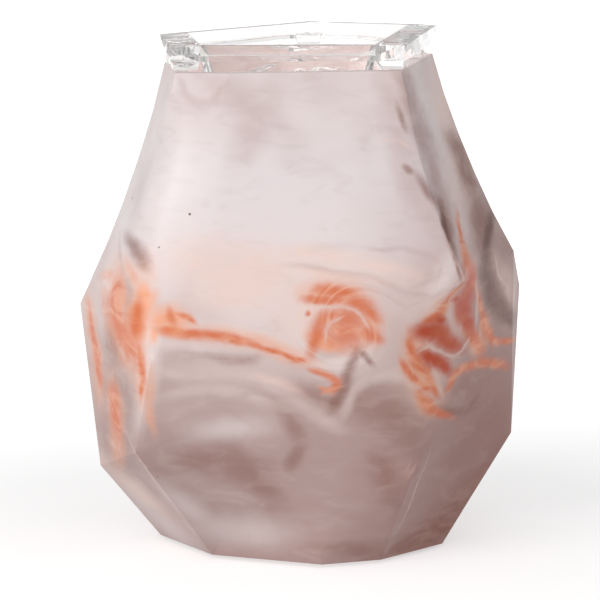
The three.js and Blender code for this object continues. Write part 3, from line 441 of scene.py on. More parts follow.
# %% Strokes of the orange melts
PEACH = {
    "left mass halo": [(117, 290, 5), (114, 315, 9), (121, 345, 11)],
    "right lobe halo": [(143, 296, 9), (138, 335, 8)],
    "left tip": [(129, 273, 3), (134, 284, 4.5)],
    "left stream halo": [(139, 350, 5), (140, 370, 4.4), (142, 396, 3.6)],
    "left filament halo": [(89, 306, 3.6), (92, 330, 4.2), (97, 360, 5), (99, 392, 4)],
    "left patch halo": [(113, 395, 7), (116, 425, 7), (117, 455, 5)],
    "left fleck": [(103, 280, 2.6), (111, 277, 2.6)],
    "corner stripe": [(150, 380, 3.4), (148, 404, 3.4), (152, 424, 2.4)],
    "tail halo": [(180, 332, 5), (210, 335, 5.4), (245, 341, 6), (272, 349, 5), (302, 361, 5)],
    "rose top halo": [(316, 293, 6), (335, 290, 8), (354, 295, 6)],
    "rose right halo": [(371, 325, 7)],
    "heart halo": [(416, 350, 8), (416, 372, 8), (430, 392, 6)],
    "drop halo": [(444, 306, 6), (434, 316, 5)],
    "right pocket": [(477, 345, 7)],
    "low left halo": [(422, 402, 5), (430, 414, 6)],
}
APRICOT = {
    "blob": [(159, 322, 5.6), (167, 316, 7), (178, 318, 5.4)],
    "blob low": [(163, 328, 4.6), (176, 331, 3.6)],
    "blob foot": [(156, 331, 3), (154, 339, 1.8)],
    "left lobe": [(144, 295, 4.6), (147, 304, 4), (139, 314, 6), (137, 330, 6)],
    "rose low fill": [(319, 341, 5), (332, 346, 4)],
}
ORANGE = {
    "left mass": [
        (117, 290, 3.4), (116, 300, 6), (115, 314, 7.5), (119, 328, 8.5), (125, 342, 8.5),
        (129, 353, 5.5)],
    "left lobe": [(139, 311, 4), (138, 322, 4.6), (134, 335, 6)],
    "left stream": [(138, 352, 3), (140, 365, 2.6), (143, 380, 1.8), (142, 396, 1.3)],
    "left filament": [(90, 316, 1.5), (93, 337, 2.6), (96, 352, 3.2), (98, 366, 2.8), (100, 380, 1.5)],
    "left patch": [(115, 396, 4), (116, 412, 4.5), (118, 430, 3)],
    "blob core": [(171, 315, 2.6), (174, 324, 3)],
    "tail": [
        (168, 332, 3.2), (186, 335, 3.6), (204, 336, 3.2), (226, 339, 3.2), (245, 344, 2.4),
        (262, 350, 1.4), (284, 355, 1)],
    "tail end": [(284, 355, 1), (296, 362, 1.7), (303, 362, 2)],
    "blob hook": [(182, 315, 1.9), (189, 317, 2), (194, 321, 1.3)],
    "rose first arc": [(310, 301, 2.6), (322, 301, 3.6), (334, 301, 4), (342, 299, 3)],
    "rose second arc": [(324, 291, 4), (332, 290, 5), (341, 293, 4.4), (352, 294, 2.4)],
    "rose petal": [(350, 304, 4.4), (359, 306, 6.2), (367, 311, 5.6), (374, 317, 3)],
    "rose top": [(343, 317, 6.5), (354, 322, 10)],
    "rose middle": [(340, 330, 13), (351, 332, 11)],
    "rose point": [(360, 334, 7.5), (369, 336, 5.4), (377, 339, 2.8)],
    "rose left arm": [(337, 315, 4.4), (326, 319, 5), (320, 328, 6), (317, 340, 5), (313, 351, 3)],
    "rose spot": [(308, 316, 1.8)],
    "hook": [
        (314, 372, 1.8), (323, 374, 2.2), (332, 378, 2.6), (338, 384, 2.8), (335, 390, 2.4),
        (328, 393, 1.8), (322, 390, 1.2)],
    "drop thread": [(459, 222, 0.9), (463, 242, 1.6), (467, 260, 2.6), (471, 275, 3.2), (473, 287, 3.4)],
    "outer arc": [(463, 286, 1.5), (454, 295, 2.3), (448, 305, 3), (441, 315, 3.6), (430, 321, 3.4)],
    "first band": [
        (411, 345, 2.6), (414, 358, 3.6), (420, 370, 4), (428, 381, 3.6), (434, 391, 3.2), (437, 399, 2)],
    "second band": [(404, 366, 1.8), (411, 378, 2.8), (420, 386, 3), (430, 395, 2.4)],
    "low left": [(423, 402, 3.8), (428, 411, 4.6), (435, 418, 3.2), (448, 421, 2.2)],
    "right wisp": [
        (450, 388, 2.2), (455, 377, 2.8), (464, 369, 3.2), (476, 364, 3.6), (490, 362, 3.6),
        (502, 365, 2.4)],
    "right arc": [
        (479, 300, 1.9), (483, 314, 2.8), (485, 327, 3.2), (490, 338, 2.6), (500, 342, 2.2),
        (511, 342, 1.6)],
    "pocket": [(469, 334, 4), (478, 346, 4.4)],
}
RUST = {
    "drop": [(471, 284, 3.4), (467, 297, 8), (464, 309, 8), (466, 321, 6), (470, 331, 3.6)],
    "drop left": [(458, 303, 3.6)],
    "heart": [(425, 333, 5), (433, 335, 9), (442, 339, 9), (449, 348, 9), (456, 350, 5)],
    "heart top": [(441, 325, 4.4)],
    "low petal": [(428, 360, 3.4), (434, 366, 5.8), (442, 371, 5.8), (448, 375, 3.2)],
}
PALE_AND_EDGE_HIGHLIGHTS = {
    "rose inner line": [(327, 341, 1.2), (328, 331, 1.4), (333, 324, 1.5), (341, 320, 1.2)],
    "rose ring": [
        (316, 308, 1.5), (332, 308, 1.5), (344, 307, 1.5), (354, 311, 1.5), (362, 317, 1.5),
        (368, 327, 1.3)],
    "heart line": [
        (424, 354, 1.4), (431, 350, 1.6), (438, 357, 1.7), (447, 362, 1.7), (456, 360, 1.6),
        (463, 352, 1.5), (467, 344, 1.4)],
    "drop inside": [(451, 312, 2.6), (453, 322, 4), (459, 335, 3.4)],
    "drop outline": [(464, 287, 1.2), (456, 295, 1.3), (451, 303, 1.3), (449, 312, 1.6)],
    "right of the drop": [(477, 292, 1.3), (477, 306, 1.8), (476, 322, 1.6)],
    "band line": [(497, 262, 1.2), (499, 274, 1.3), (504, 284, 1.1)],
    "small hook": [(384, 139, 1.2), (400, 142, 1.5), (413, 150, 1.2)],
    "fork": [(437, 382, 2.2), (442, 396, 2.2)],
    # Thin pale lines along the foot edges: painted highlights on the rounded edges
    "left foot edge painted highlight": [(137, 456, 1), (172, 504, 1), (212, 556, 1)],
    "right foot edge painted highlight": [(424, 470, 0.5), (404, 516, 0.5), (382, 560, 0.5)],
}
print("orange strokes:", sum(map(len, (PEACH, APRICOT, ORANGE, RUST, PALE_AND_EDGE_HIGHLIGHTS))))

# %% Strokes at the back
# As seen from the front through the glass, in mm: across, up and half width
BACK_STROKES = {
    "mist": [[(-44, 106, 11), (-18, 114, 11)], [(4, 28, 9), (32, 22, 8)]],
    "blush": [[(-20, 95, 7), (34, 90, 7)], [(-50, 86, 8), (-32, 82, 8)]],
    "smoke": [
        [(-30, 106, 3), (-8, 116, 2.4), (6, 108, 2)],
        [(14, 68, 3), (44, 64, 3)],
        [(-42, 44, 4), (-18, 50, 3)]],
    "mauve": [
        [(-54, 60, 7), (-34, 66, 6), (-8, 56, 5)],
        [(10, 50, 8), (42, 54, 7)],
        [(-26, 28, 8), (12, 32, 8)]],
    "umber": [[(24, 98, 2), (32, 106, 2.6), (40, 96, 2.2)], [(-42, 68, 2), (-24, 70, 1.8), (-14, 68, 1.3)]],
    "peach": [
        [(-52, 80, 5), (-30, 77, 5), (-8, 78, 4)],
        [(4, 82, 7), (14, 80, 6)],
        [(28, 74, 5), (46, 80, 5)]],
    "orange": [
        [(-56, 84, 2), (-44, 78, 3.4), (-28, 76, 2.6), (-10, 77, 1.8), (0, 81, 2.4), (5, 87, 2),
         (13, 85, 2), (15, 79, 2.6)],
        [(8, 76, 3.6)],
        [(18, 71, 1.6), (32, 73, 3.4), (42, 78, 3.2), (48, 88, 1.8)],
        [(-53, 70, 2), (-57, 50, 1.3)]],
    "rust": [[(-40, 78, 2), (-34, 77, 1.8)], [(8, 76, 2)], [(38, 75, 2), (43, 79, 1.8)]],
    "pale": [[(-46, 73, 1.2), (-14, 72, 1.1)], [(6, 81, 0.9), (11, 79, 0.8)], [(4, 62, 1.3), (36, 66, 1.2)]],
}
print("melts at the back:", ", ".join(BACK_STROKES))

# %% [markdown]
# A ray from the camera through a picture point meets the glass at one place, so every stroke lies
# where the photograph shows it, and stays there when the object is seen from elsewhere. Each leg
# of a stroke becomes a slim ellipse. It is longer than its leg, so that neighbours melt together.

# %% Carry the strokes onto the glass
PICTURE = 600
BEHIND = 200 * MM
LEG_REACH = 0.7
POINT_ANGLE = camera_data.sensor_width / LENS / PICTURE
POINT_SIZE = POINT_ANGLE * (CAMERA_DISTANCE / MM)

bpy.context.view_layer.update()
skin = BVHTree.FromObject(nodes["shade"], bpy.context.evaluated_depsgraph_get())


def seen_at(across, down):
    """The place on the shade that a picture point shows, in mm."""
    ray = Vector(((across - PICTURE / 2) * POINT_ANGLE, (PICTURE / 2 - down) * POINT_ANGLE, -1))
    ray.rotate(camera.rotation_euler)
    place = skin.ray_cast(camera.location, ray)[0]
    return place and place / MM


def behind_at(across, up):
    """The place on the back of the shade, in mm, at a distance across and up."""
    place = skin.ray_cast(Vector((across * MM, BEHIND, up * MM)), Vector((0, -1, 0)))[0]
    return place and place / MM


def ellipses_of(route):
    """Slim ellipses along a route of places and half widths: middle, half length, half width, tilt."""
    if len(route) == 1:
        place, wide = route[0]
        return [(place, wide, wide, 0)]
    made = []
    for (a, wide_a), (b, wide_b) in zip(route, route[1:]):
        leg = b - a
        wide = (wide_a + wide_b) / 2
        half_length = math.hypot(leg.x, leg.z) * LEG_REACH + wide
        made.append(((a + b) / 2, half_length, wide, -math.atan2(leg.z, leg.x)))
    return made


def ellipses_of_melt(name, strokes, spread):
    """All ellipses of a melt at the front, where they have spread a little, and at the back."""
    front = [[(seen_at(x, y), wide * POINT_SIZE * spread) for x, y, wide in stroke]
             for stroke in strokes.values()]
    rear = [[(behind_at(x, z), wide) for x, z, wide in stroke] for stroke in BACK_STROKES.get(name, [])]
    made = []
    for route in front + rear:
        made += ellipses_of([point for point in route if point[0]])
    return made


print("one picture point on the glass:", round(POINT_SIZE, 3), "mm")

# %% [markdown]
# One value tells how near a place lies to the ellipses of a colour: 0 in a middle and 1 on an
# outline. A smooth minimum melts neighbours together, so a chain reads as one poured streak.
# Noise is added to that value before it becomes a mask, because the border of a stirred melt is
# uneven and smoky, and not airbrushed.

# %% Helpers for masks and blends
# How far a stroke reaches into the wall in mm, and how softly neighbours join
STROKE_DEPTH = 40
MELT_TOGETHER = 0.3


def math_node(tree, operation, *values):
    """A Math node's output; each value is a number or a socket."""
    return add(tree, "ShaderNodeMath", dict(enumerate(values)), operation=operation).outputs[0]


def nearness(tree, place, ellipses):
    """The distance to the nearest ellipse, in shares of its own size."""
    nearest = None
    for middle, half_length, half_width, tilt in ellipses:
        local = add(tree, "ShaderNodeMapping", {
            "Vector": place, "Location": middle, "Rotation": (0, tilt, 0),
            "Scale": (half_length, STROKE_DEPTH, half_width)}, vector_type="TEXTURE")
        reach = add(tree, "ShaderNodeVectorMath", {0: local.outputs[0]}, operation="LENGTH").outputs["Value"]
        nearest = reach if nearest is None else math_node(tree, "SMOOTH_MIN", nearest, reach, MELT_TOGETHER)
    return nearest


def steps(tree, value, low, high):
    """A soft step from 0 at low to 1 at high, or from 1 to 0 where low is the larger."""
    rising = low < high
    return add(tree, "ShaderNodeMapRange", {
        "Value": value, "From Min": min(low, high), "From Max": max(low, high),
        "To Min": 0.0 if rising else 1.0, "To Max": 1.0 if rising else 0.0},
        interpolation_type="SMOOTHSTEP").outputs[0]


def blend_in(tree, below, above, amount):
    """Lays one colour over another."""
    mix = add(tree, "ShaderNodeMix", {"Factor": amount}, data_type="RGBA")
    for socket, value in ((mix.inputs[6], below), (mix.inputs[7], above)):
        if isinstance(value, bpy.types.NodeSocket):
            tree.links.new(value, socket)
        else:
            socket.default_value = value
    return mix.outputs[2]


print("helpers: math_node, nearness, steps, blend_in")

# %% Coordinates and noises of the marbling
marbling, source, sink = new_group("marbling", [("Place", VECTOR, None)],
                                   [("Color", COLOR), ("Veins", FLOAT)])
still = add(marbling, "ShaderNodeVectorMath", {0: source.outputs["Place"]}, operation="SCALE")
still.inputs["Scale"].default_value = 1 / MM
still = still.outputs[0]
stirred = still
for centre, axis, radius, turn in WHIRLS:
    stirred = use(marbling, whirl, {"Place": stirred, "Centre": centre, "Axis": axis, "Radius": radius,
                                    "Turn": turn}).outputs["Place"]


def drift_by(place, fineness, reach, detail):
    """Places that a noise has pushed about: how fine it is, how far it pushes in mm, its detail."""
    return use(marbling, flow, {"Place": place, "Fineness": fineness, "Reach": reach,
                                "Detail": detail}).outputs["Place"]


def stretched(place, shares):
    """Places scaled along each axis, which draws a noise out where a share is small."""
    return add(marbling, "ShaderNodeVectorMath", {0: place, 1: shares}, operation="MULTIPLY").outputs[0]


slow = drift_by(stirred, 0.028, 16.0, 2.0)
quick = drift_by(slow, 0.085, 7.0, 3.0)
sway = drift_by(still, 0.09, 2.0, 1.0)
curl = drift_by(sway, 0.35, 0.9, 2.0)

flat = stretched(quick, (0.35, 0.35, 1.7))
streaks = add(marbling, "ShaderNodeTexNoise", {"Vector": flat, "Scale": 0.075, "Detail": 5.0,
                                              "Roughness": 0.5, "Distortion": 0.6}).outputs["Fac"]
clouds = add(marbling, "ShaderNodeTexNoise", {"Vector": slow, "Scale": 0.032, "Detail": 2.0}).outputs["Fac"]
smoke = add(marbling, "ShaderNodeTexNoise", {"Vector": curl, "Scale": 0.22, "Detail": 3.0}).outputs["Fac"]
drawn_out = stretched(stirred, (0.6, 0.6, 1.6))
density = add(marbling, "ShaderNodeTexNoise", {"Vector": drawn_out, "Scale": 0.13, "Detail": 4.0,
                                              "Distortion": 0.8}).outputs["Fac"]
torn = math_node(marbling, "MULTIPLY_ADD", streaks, 0.7, -0.35)
fuzz = math_node(marbling, "MULTIPLY_ADD", smoke, 0.9, -0.45)
wander = math_node(marbling, "ADD", torn, fuzz)
thin_places = steps(marbling, density, 0.44, 0.68)
print("coordinates of the marbling ready")

# %% [markdown]
# Each melt that is stirred in pushes those after it a little aside, so the coordinates move on
# from one batch of ellipses to the next. The batches also keep the shader small: Cycles holds
# only so many values at once, and a single chain of all the ellipses would pass its limit. A melt
# is thick in places and thin in others, so each has two colours, and a drawn-out noise blends them.

# %% Blend the melts
BATCH = 45
PUSH = (0.3, 0, -0.4)

# Painted shade towards the right and lower down, in mm: from none to full, first across and then down
RIGHT_SHADE_FROM = 6
RIGHT_SHADE_TO = 62
RIGHT_SHADE_TOP = 150
RIGHT_SHADE_FULL = 80

# Strokes, how far they spread, thick and thin colour, softness of the border, strength, raggedness
MELTS = {
    # mist, pale, mauve and umber also lay the painted light and painted shade of their strokes
    "mist": (MIST_AND_PAINTED_LIGHT, 1.35, (243, 235, 233), (236, 226, 224), 0.95, 0.45, 0.4),
    "blush": (BLUSH, 1.35, (239, 208, 196), (234, 206, 198), 0.95, 0.62, 0.5),
    "mauve": (MAUVE_AND_PAINTED_SHADE, 1.35, (148, 108, 99), (166, 131, 123), 0.9, 0.62, 0.6),
    "smoke": (SMOKE, 1.3, (192, 168, 164), (202, 181, 177), 0.9, 0.55, 0.5),
    "veil": (VEIL, 1.5, (228, 208, 204), (214, 190, 185), 0.95, 0.5, 0.45),
    "thread": (THREAD, 1.35, (188, 162, 157), (200, 178, 174), 0.85, 0.38, 0.4),
    "umber": (UMBER_AND_PAINTED_SHADE, 1.3, (134, 90, 80), (156, 118, 108), 0.85, 0.68, 0.5),
    "ink": (INK, 1.3, (94, 56, 46), (112, 74, 64), 0.7, 0.75, 0.35),
    "peach": (PEACH, 1.4, (232, 167, 138), (234, 186, 166), 0.9, 0.66, 0.6),
    "apricot": (APRICOT, 1.5, (241, 170, 134), (238, 156, 110), 0.75, 0.82, 0.5),
    "orange": (ORANGE, 1.4, (213, 108, 62), (228, 150, 114), 0.85, 0.84, 0.6),
    "rust": (RUST, 1.35, (182, 60, 8), (186, 76, 30), 0.7, 0.94, 0.4),
    "pale": (PALE_AND_EDGE_HIGHLIGHTS, 1.05, (226, 202, 195), (216, 186, 178), 0.85, 0.52, 0.3),
}
where = curl


def near_melt(ellipses, ragged):
    """How near a place is to a melt's ellipses, with an uneven border."""
    global where
    least = None
    for first in range(0, len(ellipses), BATCH):
        near = nearness(marbling, where, ellipses[first:first + BATCH])
        least = near if least is None else math_node(marbling, "MINIMUM", least, near)
        pushed = steps(marbling, near, 1.0, 0.0)
        where = add(marbling, "ShaderNodeVectorMath", {0: pushed, 1: PUSH, 2: where},
                    operation="MULTIPLY_ADD").outputs[0]
    return math_node(marbling, "MULTIPLY_ADD", wander, ragged, least)


def lay(colour, above, amount, strength):
    """Blends a colour in at a share of its mask."""
    return blend_in(marbling, colour, above, math_node(marbling, "MULTIPLY", amount, strength))


height = add(marbling, "ShaderNodeSeparateXYZ", {0: quick}).outputs["Z"]
TOP = LAYERS[-1][0]
share = add(marbling, "ShaderNodeMapRange", {"Value": height, "From Min": 0.0, "From Max": TOP}).outputs[0]
layers = add(marbling, "ShaderNodeValToRGB", {"Fac": share})
layers.color_ramp.interpolation = "EASE"
stops = layers.color_ramp.elements
while len(stops) < len(LAYERS):
    stops.new(0.5)
for stop, (z, colour) in zip(stops, LAYERS):
    stop.position = z / TOP
for stop, (z, colour) in zip(stops, LAYERS):
    stop.color = paint(*colour)

colour = layers.outputs["Color"]
threads = math_node(marbling, "MULTIPLY", steps(marbling, streaks, 0.52, 0.72),
                    steps(marbling, height, 30, 90))
colour = lay(colour, paint(236, 226, 225), threads, 0.25)
colour = lay(colour, paint(168, 138, 134), steps(marbling, clouds, 0.47, 0.75), 0.25)
colour = lay(colour, paint(232, 214, 210), steps(marbling, density, 0.5, 0.8), 0.14)
colour = lay(colour, paint(150, 112, 104), steps(marbling, density, 0.5, 0.2), 0.14)
# A redder brown laid over the right side and the lower part: painted shade where less light falls
sideways = add(marbling, "ShaderNodeSeparateXYZ", {0: slow}).outputs["X"]
right_painted_shade = math_node(marbling, "MULTIPLY", steps(marbling, sideways, RIGHT_SHADE_FROM, RIGHT_SHADE_TO),
                 steps(marbling, height, RIGHT_SHADE_TOP, RIGHT_SHADE_FULL))
colour = lay(colour, paint(136, 86, 76), right_painted_shade, 0.66)
ellipse_count = 0
for name, (strokes, spread, thick, thin, softness, strength, ragged) in MELTS.items():
    ellipses = ellipses_of_melt(name, strokes, spread)
    ellipse_count += len(ellipses)
    mask = steps(marbling, near_melt(ellipses, ragged), 1 + softness, 1 - softness)
    melt = blend_in(marbling, paint(*thick), paint(*thin), thin_places)
    colour = lay(colour, melt, mask, strength)
marbling.links.new(colour, sink.inputs["Color"])
marbling.links.new(streaks, sink.inputs["Veins"])
print("ellipses:", ellipse_count, "nodes:", len(marbling.nodes))

# %% [markdown]
# Tiny dark specks of furnace ash sit in such glass here and there. A Voronoi texture gives each
# speck a cell of its own, and only cells whose random colour lies under a share show one.

# %% Node group for specks
specks, source, sink = new_group("specks", [("Place", VECTOR, None), ("Spacing", FLOAT, 120.0),
                                            ("Share", FLOAT, 0.2)], [("Mask", FLOAT)])
cells = add(specks, "ShaderNodeTexVoronoi", {"Vector": source.outputs["Place"],
                                             "Scale": source.outputs["Spacing"]})
dot = add(specks, "ShaderNodeMapRange", {"Value": cells.outputs["Distance"], "From Min": 0.025,
                                         "From Max": 0.055, "To Min": 1.0, "To Max": 0.0})
pick = add(specks, "ShaderNodeSeparateColor", {"Color": cells.outputs["Color"]})
chosen = add(specks, "ShaderNodeMath", {0: pick.outputs[0], 1: source.outputs["Share"]},
             operation="LESS_THAN")
both = add(specks, "ShaderNodeMath", {0: dot.outputs[0], 1: chosen.outputs[0]}, operation="MULTIPLY")
specks.links.new(both.outputs[0], sink.inputs["Mask"])
print("group:", specks.name)

# %% [markdown]
# ## The marbled glass itself
# Milky glass scatters light that falls through it. Real scattering is slow and noisy to render,
# so two plain means stand in for it: a share of the lamps' light passes the wall, and the wall's
# inside glows a little in its own colours. The inside is where the surface faces the middle.

# %% Marbled glass material
INNER_GLOW = 0.35
GLASS_PASSES = 0.85
INWARDS_FROM = -0.2
INWARDS_FULL = -0.6
RIPPLE_DEPTH = 0.4


def new_material(name):
    """A material, its tree, its shader and its object coordinates."""
    made = bpy.data.materials.new(name)
    made.use_nodes = True
    tree = made.node_tree
    place = add(tree, "ShaderNodeTexCoord").outputs["Object"]
    return made, tree, tree.nodes["Principled BSDF"], place


def let_light_through(tree, shader, share):
    """Lets a share of the lamps' light pass, so that what lies behind the glass is lit."""
    path = add(tree, "ShaderNodeLightPath")
    alpha = add(tree, "ShaderNodeMath", {0: path.outputs["Is Shadow Ray"], 1: -share, 2: 1.0},
                operation="MULTIPLY_ADD")
    tree.links.new(alpha.outputs[0], shader.inputs["Alpha"])


def bumped(tree, shader, height, strength, depth):
    """Makes a surface rise and sink with a height, by a depth in mm."""
    bump = add(tree, "ShaderNodeBump", {"Height": height, "Strength": strength, "Distance": depth * MM})
    tree.links.new(bump.outputs["Normal"], shader.inputs["Normal"])


marbled, tree, shader, place = new_material("marbled_glass")
pattern = use(tree, marbling, {"Place": place})
ash = use(tree, specks, {"Place": place, "Spacing": 110.0, "Share": 0.16})
colour = blend_in(tree, pattern.outputs["Color"], paint(92, 58, 52), ash.outputs["Mask"])
tree.links.new(colour, shader.inputs["Base Color"])
flat_place = add(tree, "ShaderNodeVectorMath", {0: place, 1: (1, 1, 0)}, operation="MULTIPLY").outputs[0]
outwards = add(tree, "ShaderNodeVectorMath", {0: flat_place}, operation="NORMALIZE").outputs[0]
facing = add(tree, "ShaderNodeNewGeometry").outputs["True Normal"]
turned_out = add(tree, "ShaderNodeVectorMath", {0: facing, 1: outwards}, operation="DOT_PRODUCT")
inside = steps(tree, turned_out.outputs["Value"], INWARDS_FROM, INWARDS_FULL)
lit_through = blend_in(tree, (0, 0, 0, 1), pattern.outputs["Color"], inside)
tree.links.new(lit_through, shader.inputs["Emission Color"])
shader.inputs["Emission Strength"].default_value = INNER_GLOW
ripple = add(tree, "ShaderNodeTexNoise", {"Vector": place, "Scale": 38.0, "Detail": 2.0, "Roughness": 0.4})
bumped(tree, shader, ripple.outputs["Fac"], 0.5, RIPPLE_DEPTH)
rough = add(tree, "ShaderNodeMapRange", {"Value": pattern.outputs["Veins"], "To Min": 0.38, "To Max": 0.5})
tree.links.new(rough.outputs[0], shader.inputs["Roughness"])
shader.inputs["IOR"].default_value = 1.5
shader.inputs["Specular IOR Level"].default_value = 0.2
shader.inputs["Coat Weight"].default_value = 0.06
shader.inputs["Coat Roughness"].default_value = 0.25
let_light_through(tree, shader, GLASS_PASSES)
print("material:", marbled.name)

# %% [markdown]
# ## The shade's soft edges
# The shade is pressed in a mould, so no edge is sharp: light catches a narrow rounded band along
# each one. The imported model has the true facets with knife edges. A copy of it is merged, because
# a loaded piece is loose triangles, and bevelled along the edges that turn far enough.

# %% Copy a node and round its edges
MERGE_WITHIN = 0.001 * MM
SMOOTH_BELOW = math.radians(35)


def copied(node, name):
    """A merged copy of a node, ready to be shaped."""
    piece = nodes[node].copy()
    piece.data = nodes[node].data.copy()
    piece.name = name
    piece.parent = None
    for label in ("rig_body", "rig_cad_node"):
        del piece[label]
    piece.data.materials.clear()
    bpy.context.scene.collection.objects.link(piece)
    only(piece)
    bpy.ops.object.mode_set(mode="EDIT")
    bpy.ops.mesh.select_all(action="SELECT")
    bpy.ops.mesh.remove_doubles(threshold=MERGE_WITHIN)
    bpy.ops.object.mode_set(mode="OBJECT")
    return piece


def round_edges(piece, width, sharpest, segments=3):
    """Rounds the edges that turn by more than an angle, and shades the rest smooth."""
    if width:
        bevel = piece.modifiers.new("rounded edges", "BEVEL")
        bevel.width = width
        bevel.segments = segments
        bevel.limit_method = "ANGLE"
        bevel.angle_limit = math.radians(sharpest)
        apply_all(piece)
    only(piece)
    bpy.ops.object.shade_smooth_by_angle(angle=SMOOTH_BELOW)


print("helpers: copied, round_edges")

# %% [markdown]
# Most of the front is softer still: its facets run into each other with no line at all, and only
# a few edges stay crisp. Big flat facets can't bend, so both faces of the wall are first cut into
# a fine net. A Smooth modifier then relaxes them together, so that the wall keeps its thickness,
# and a vertex group holds them back near the crisp edges, the rim, the foot and the sides.

# %% Relax the soft facets of the shade
SHADE_ROUND = 1.1 * MM
NET_CUTS = 11
RELAX_ROUNDS = 140

# Heights between which the front is soft, how deep it goes and how it fades, in mm
SOFT_FROM = 5
SOFT_TO = 151
SOFT_FADE = 14
FRONT_DEPTH = 6
SIDE_FADE = 18

# A face is part of the wall where its normal leans outwards or inwards by more than this share
ACROSS_WALL = 0.5

# Crisp edges, from end to end in mm
CRISP_EDGES = {
    "right of the front": ((30.3, -40.6, 157), (50.5, -52, 93)),
    "left of the front": ((-47, -64, 69), (-52, -59, 40)),
    "left foot": ((-52, -59, 40), (-29, -32.5, 0)),
    "left fold": ((-65.5, -12, 26), (-52, -59, 40)),
    "left outline foot": ((-46.5, -4.5, 0), (-65.5, -12, 26)),
    "left outline low": ((-65.5, -12, 26), (-72, -5.5, 78)),
    "left outline high": ((-72, -5.5, 78), (-44, -5.5, 157)),
    "right outline foot": ((45, -17, 0), (68.3, 7, 33)),
    "right outline low": ((68.3, 7, 33), (68.5, 6, 93.5)),
    "right foot": ((35, -50, 32), (24.7, -39.3, 0)),
}


def eased(share):
    """A share from 0 to 1 with soft ends."""
    share = min(max(share, 0), 1)
    return share * share * (3 - 2 * share)


def edge_distance(point, ends):
    """The distance in mm from a point to an edge between two ends."""
    first, last = map(Vector, ends)
    nearest, along = intersect_point_line(point, first, last)
    nearest = first if along < 0 else last if along > 1 else nearest
    return (point - nearest).length


def softness_at(place):
    """1 where a facet is soft, falling to 0 at crisp edges, rim, foot and sides."""
    point = place / MM
    crisp = min(edge_distance(point, ends) for ends in CRISP_EDGES.values())
    low = eased((point.z - SOFT_FROM) / SOFT_FADE)
    high = eased((SOFT_TO - point.z) / SOFT_FADE)
    front = eased((FRONT_DEPTH - point.y) / SIDE_FADE)
    return eased(crisp / SOFT_FADE) * low * high * front


def on_wall(face):
    """True for a face on the outside or the inside of the shade's wall."""
    away = Vector((face.center.x, face.center.y, 0)).normalized()
    return abs(face.normal.dot(away)) > ACROSS_WALL


glass_shade = copied("shade", "glass_shade")
mesh = glass_shade.data
for part in (*mesh.vertices, *mesh.edges, *mesh.polygons):
    part.select = False
for face in mesh.polygons:
    face.select = on_wall(face)
bpy.ops.object.mode_set(mode="EDIT")
bpy.ops.mesh.select_mode(type="FACE")
bpy.ops.mesh.subdivide(number_cuts=NET_CUTS)
bpy.ops.object.mode_set(mode="OBJECT")

soft = glass_shade.vertex_groups.new(name="soft")
for i in {i for face in mesh.polygons if on_wall(face) for i in face.vertices}:
    soft.add([i], softness_at(mesh.vertices[i].co), "REPLACE")
before = [vertex.co.copy() for vertex in mesh.vertices]
relax = glass_shade.modifiers.new("relax", "SMOOTH")
relax.vertex_group = soft.name
relax.iterations = RELAX_ROUNDS
relax.factor = 0.5
apply_all(glass_shade)
glass_shade.vertex_groups.clear()
moves = [(vertex.co - old).length for vertex, old in zip(mesh.vertices, before)]
print("furthest move in mm:", round(max(moves) / MM, 2))
round_edges(glass_shade, SHADE_ROUND, sharpest=13, segments=3)
glass_shade.data.materials.append(marbled)
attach(glass_shade, "warmer")
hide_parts("shade")
print("shade:", len(mesh.polygons), "faces")

# %% [markdown]
# ## The clear dish
# The dish is pressed in one go from clear glass. Its thick grips and short feet bend what lies
# behind them, so it needs real refraction, slightly wavy faces and polished, rounded edges. Light
# that is caught inside thick glass would end as black where a ray may bounce no further, so such
# rays find a soft mottled glow instead.

# %% Dish material and piece
DISH_ROUND = 0.7 * MM
WAVE_DEPTH = 0.3
LONG_PATH = 7
MIRRORED_OFTEN = 4
TRAPPED_LIGHT = 0.72
DIM_LIGHT = 0.2

clear, tree, shader, place = new_material("clear_glass")
shader.inputs["Base Color"].default_value = paint(240, 239, 238)
shader.inputs["Transmission Weight"].default_value = 1
shader.inputs["IOR"].default_value = 1.5
waves = add(tree, "ShaderNodeTexNoise", {"Vector": place, "Scale": 120.0, "Detail": 2.0, "Roughness": 0.5})
bumped(tree, shader, waves.outputs["Fac"], 0.6, WAVE_DEPTH)
smear = add(tree, "ShaderNodeMapRange", {"Value": waves.outputs["Fac"], "To Min": 0.0, "To Max": 0.05})
tree.links.new(smear.outputs[0], shader.inputs["Roughness"])
let_light_through(tree, shader, 1.0)
path = add(tree, "ShaderNodeLightPath")
far_through = math_node(tree, "COMPARE", path.outputs["Transmission Depth"], LONG_PATH, 0.5)
mirrored = math_node(tree, "COMPARE", path.outputs["Glossy Depth"], MIRRORED_OFTEN, 0.5)
deep = math_node(tree, "MAXIMUM", far_through, mirrored)
mottle = add(tree, "ShaderNodeTexNoise", {"Vector": place, "Scale": 260.0, "Detail": 3.0, "Distortion": 1.5})
uneven = add(tree, "ShaderNodeMapRange", {"Value": mottle.outputs["Fac"], "From Min": 0.35, "From Max": 0.6,
                                          "To Min": DIM_LIGHT, "To Max": TRAPPED_LIGHT}).outputs[0]
tree.links.new(math_node(tree, "MULTIPLY", deep, uneven), shader.inputs["Emission Strength"])
shader.inputs["Emission Color"].default_value = (1, 0.98, 0.97, 1)

glass_dish = copied("wax_dish", "glass_dish")
round_edges(glass_dish, DISH_ROUND, sharpest=25)
glass_dish.data.materials.append(clear)
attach(glass_dish, "dish")
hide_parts("wax_dish")
print("dish:", len(glass_dish.data.polygons), "faces")

# %% [markdown]
# ## Finishes of the inner pieces
# Inside are enamelled, plated and blackened parts. They share three effects, so one group makes
# them all: worn patches in a second tone, a grain that is smoother here and rougher there, and a
# bumpy skin such as baked paint has.

